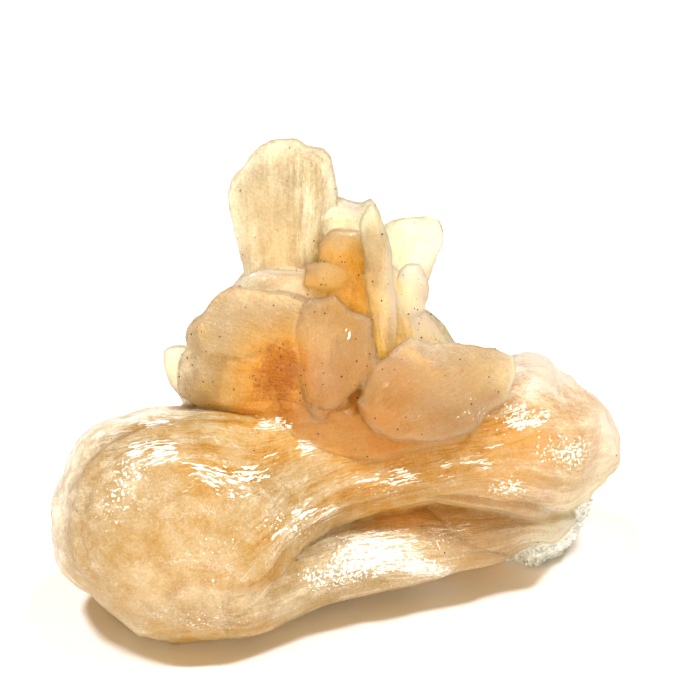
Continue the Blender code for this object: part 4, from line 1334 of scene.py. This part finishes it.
def grain_shape(name, seed):
    """A small angular grain, one unit across: two rings of five points and a point at each end."""
    rng = np.random.default_rng(seed)
    turn = np.arange(5) * 2 * pi / 5
    ring = np.stack((np.cos(turn), np.sin(turn), 0 * turn), axis=1)
    points = np.vstack(((0, 0, -0.8), ring * 0.9 + (0, 0, -0.3), ring * (0.9, -0.9, 1) + (0, 0, 0.35),
                        (0, 0, 0.85)))
    points = points[:, :3] * (1 + GRAIN_ROUGHNESS * rng.uniform(-1, 1, (len(points), 1))) / 2 / MM
    faces = [(0, 1 + (k + 1) % 5, 1 + k) for k in range(5)]
    faces += [(1 + k, 1 + (k + 1) % 5, 6 + (5 - (k + 1)) % 5, 6 + (5 - k) % 5) for k in range(5)]
    faces += [(11, 6 + (5 - k) % 5, 6 + (5 - (k + 1)) % 5) for k in range(5)]
    shape = mesh_piece(name, points, faces)
    set_smooth(shape.data, False)
    return shape


def speck_finish():
    """Dull, nearly black oxide."""
    nodes = Nodes("dark_oxide")
    place = nodes.node("TexCoord").outputs["Object"]
    tone = nodes.noise(place, 400.0, 1.0)
    nodes.join(nodes.ramp(tone, ((0.3, (0.02, 0.014, 0.01)), (0.7, (0.13, 0.08, 0.045)))),
               nodes.shader.inputs["Base Color"])
    nodes.join(nodes.ranged(tone, 0.3, 0.7, 0.5, 0.8), nodes.shader.inputs["Roughness"])
    return nodes.material


is_blade = np.array([growth.name in SEEN_BLADES or growth.name.startswith("far_blade")
                     for growth in growths])[source]
is_layer = np.array([growth.name in ("front_layer", "right_layer") for growth in growths])[source]
patchy = smooth_step(soft_noise(read_points(skin) / MM / 9, 91), -0.2, 0.7)
gathered = spot_strength(seen, SPECK_SPOTS) * (is_blade | is_layer)
speck_share = (0.75 * is_blade + 0.3 * is_layer + 0.07) * (0.25 + patchy) + gathered
set_layer(skin, "speck_share", 'FLOAT', speck_share)
oxide = speck_finish()
grain = grain_shape("grain_shape", 5)
specks = scatter_tree("specks", {
    "Density": ("Float", 42000.0), "Seed": ("Int", 21), "Smallest": ("Float", 0.2 * MM),
    "Largest": ("Float", 0.5 * MM), "Shape": ("Object", grain), "Finish": ("Material", oxide)},
    "speck_share").apply("dark_specks", cluster)
finish_piece(specks, oxide)

# %% [markdown]
# ## The host rock
# The scrap of rock under the right end is fine-grained weathered basalt, pale grey-green and
# crumbly. A lump with three sizes of noise keeps the rough broken outline that a smooth pebble
# would lose, and loose grains are set on it afterwards.

# %% Rock
# Millimetres, and how far it slants to the right as it rises
ROCK_MIDDLE = np.array((48, 24, 11)) + CENTRING
ROCK_HALF = np.array((10.2, 13.0, 15))
ROCK_SLANT = 0.3
ROCK_ROWS, ROCK_AROUND = 90, 150


def rock_mesh():
    """A ball of points, roughened, stretched and slanted, and cut off flat at the floor."""
    rows, around = ROCK_ROWS, ROCK_AROUND
    rising = np.linspace(-pi / 2, pi / 2, rows)[1:-1]
    turning = np.linspace(0, 2 * pi, around, endpoint=False)
    ball = np.stack((np.cos(rising)[:, None] * np.cos(turning), np.cos(rising)[:, None] * np.sin(turning),
                     np.sin(rising)[:, None] + 0 * turning), axis=-1).reshape(-1, 3)
    ball = np.vstack((ball, (0, 0, -1), (0, 0, 1)))
    rough = 1 + 0.05 * soft_noise(ball * 3, 5) + 0.045 * rough_noise(ball * 7, 3, 6)
    rough += 0.02 * rough_noise(ball * 24, 2, 7)
    points = ball * ROCK_HALF * rough[:, None]
    points[:, 0] += points[:, 2] * ROCK_SLANT
    points += ROCK_MIDDLE
    points[:, 2] = np.maximum(points[:, 2], 0)
    count = (rows - 2) * around
    faces = tube_faces(rows - 2, around, count, count + 1)
    return mesh_piece("host_rock_lump", points, [face[::-1] for face in faces])


def rock_finish():
    """Pale grey-green, with crisp grains a millimetre wide and softer patches."""
    nodes = Nodes("host_rock")
    place = nodes.node("TexCoord").outputs["Object"]
    grains = nodes.node("TexVoronoi")
    nodes.join(place, grains.inputs["Vector"])
    grains.inputs["Scale"].default_value = 900.0
    patches = nodes.noise(place, 150.0, 4.0, 0.6)
    colour = nodes.ramp(patches, ((0.3, (0.34, 0.38, 0.36)), (0.45, (0.62, 0.66, 0.65)),
                                  (0.58, (0.82, 0.86, 0.86)), (0.75, (0.95, 0.97, 0.97))))
    speckle = nodes.ramp(grains.outputs["Color"], ((0.0, (0.45, 0.45, 0.45)), (1.0, (1.25, 1.25, 1.25))))
    colour = nodes.mix(0.55, colour, speckle, 'MULTIPLY')
    nodes.join(colour, nodes.shader.inputs["Base Color"])
    nodes.join(nodes.ranged(patches, 0.2, 0.8, 0.75, 0.98), nodes.shader.inputs["Roughness"])
    bumped = nodes.bump(grains.outputs["Distance"], 0.0006, 0.8)
    bumped = nodes.bump(nodes.noise(place, 500.0, 5.0, 0.7), 0.0008, 0.7, bumped)
    nodes.join(bumped, nodes.shader.inputs["Normal"])
    nodes.shader.inputs["Specular IOR Level"].default_value = 0.25
    return nodes.material


rock = rock_mesh()
basalt = rock_finish()
finish_piece(rock, basalt, ("host_rock",))

# %% [markdown]
# ## Loose grains on the rock
# Weathered basalt sheds crumbs that cling to its face. They are the same small grain again, larger
# and in the rock's own finish, and spread evenly. Displacing the lump further would give smooth
# bumps, where crumbs have crisp corners. They are kept above the floor.

# %% Loose grains on the rock
set_layer(rock.data, "grain_share", 'FLOAT', np.ones(len(rock.data.vertices)))
crumbs = scatter_tree("crumbs", {
    "Density": ("Float", 700000.0), "Seed": ("Int", 4), "Smallest": ("Float", 0.5 * MM),
    "Largest": ("Float", 1.5 * MM), "Shape": ("Object", grain), "Finish": ("Material", basalt)},
    "grain_share").apply("rock_grains", rock)
bpy.data.objects.remove(grain)
low = read_points(crumbs.data)
low[:, 2] = np.maximum(low[:, 2], 0)
crumbs.data.vertices.foreach_set("co", low.astype(np.float32).ravel())
finish_piece(crumbs, basalt, ("host_rock",))

# %% [markdown]
# ## Floor, light and camera
# The photograph is high-key: a white floor so bright that it burns out, with a narrow, warm shadow
# close under the specimen. Two distant lamps high on the left and right do this: either alone makes
# the floor white, so only what is hidden from both is dark. A soft warm lamp low in front lights the
# faces towards the viewer, and a dim warm sky colours the shadow. One big lamp overhead would be
# simpler, but its shadow would have no crisp edge.

# %% Stage
FLOOR_SIZE = 6.0
FLOOR_COLOUR = (0.93, 0.93, 0.93, 1)
SKY_COLOUR, SKY_STRENGTH = (1, 0.52, 0.12, 1), 0.34
KEY_POWER, KEY_COLOUR, KEY_ANGLE = 2.9, (0.97, 0.98, 1), radians(9)
FILL_POWER, FILL_COLOUR, FILL_SIZE = 6.2, (1, 0.86, 0.60), 0.5
LAMP_TARGET = (0, 0, 45)
LENS, SENSOR_WIDTH = 100, 36

floor_mesh = bpy.data.meshes.new("floor")
half = FLOOR_SIZE / 2
floor_mesh.from_pydata([(-half, -half, 0), (half, -half, 0), (half, half, 0), (-half, half, 0)], [],
                       [(0, 1, 2, 3)])
floor = new_object("floor", floor_mesh)
paper = Nodes("pale_floor")
paper.shader.inputs["Base Color"].default_value = FLOOR_COLOUR
paper.shader.inputs["Roughness"].default_value = 0.9
floor_mesh.materials.append(paper.material)

world = bpy.data.worlds.new("studio")
world.use_nodes = True
world.node_tree.nodes["Background"].inputs["Color"].default_value = SKY_COLOUR
world.node_tree.nodes["Background"].inputs["Strength"].default_value = SKY_STRENGTH
bpy.context.scene.world = world


def aim(thing, start, target):
    """Places a lamp or camera, in millimetres, and points it at a target."""
    start, target = Vector(start) * MM, Vector(target) * MM
    thing.location = start
    thing.rotation_euler = (target - start).to_track_quat('-Z', 'Y').to_euler()


def soft_lamp(name, kind, start, power, colour, **size):
    """A square lamp with a size in metres, or a distant one with an angle."""
    light = bpy.data.lights.new(name, kind)
    light.energy = power
    light.color = colour
    for key, value in size.items():
        setattr(light, key, value)
    aim(new_object(name, light), start, LAMP_TARGET)


for side, across in (("left", -250), ("right", 260)):
    soft_lamp("key_upper_" + side, 'SUN', (across, -180, 800), KEY_POWER, KEY_COLOUR, angle=KEY_ANGLE)
soft_lamp("fill_in_front", 'AREA', (90, -800, 120), FILL_POWER, FILL_COLOUR, size=FILL_SIZE)

camera_data = bpy.data.cameras.new("camera")
camera_data.lens = LENS
camera_data.sensor_width = SENSOR_WIDTH
camera_data.clip_start = 0.01
camera = new_object("camera", camera_data)
aim(camera, EYE, VIEW_MIDDLE + CENTRING)
bpy.context.scene.camera = camera
bpy.context.scene.view_settings.view_transform = 'Standard'

# %% [markdown]
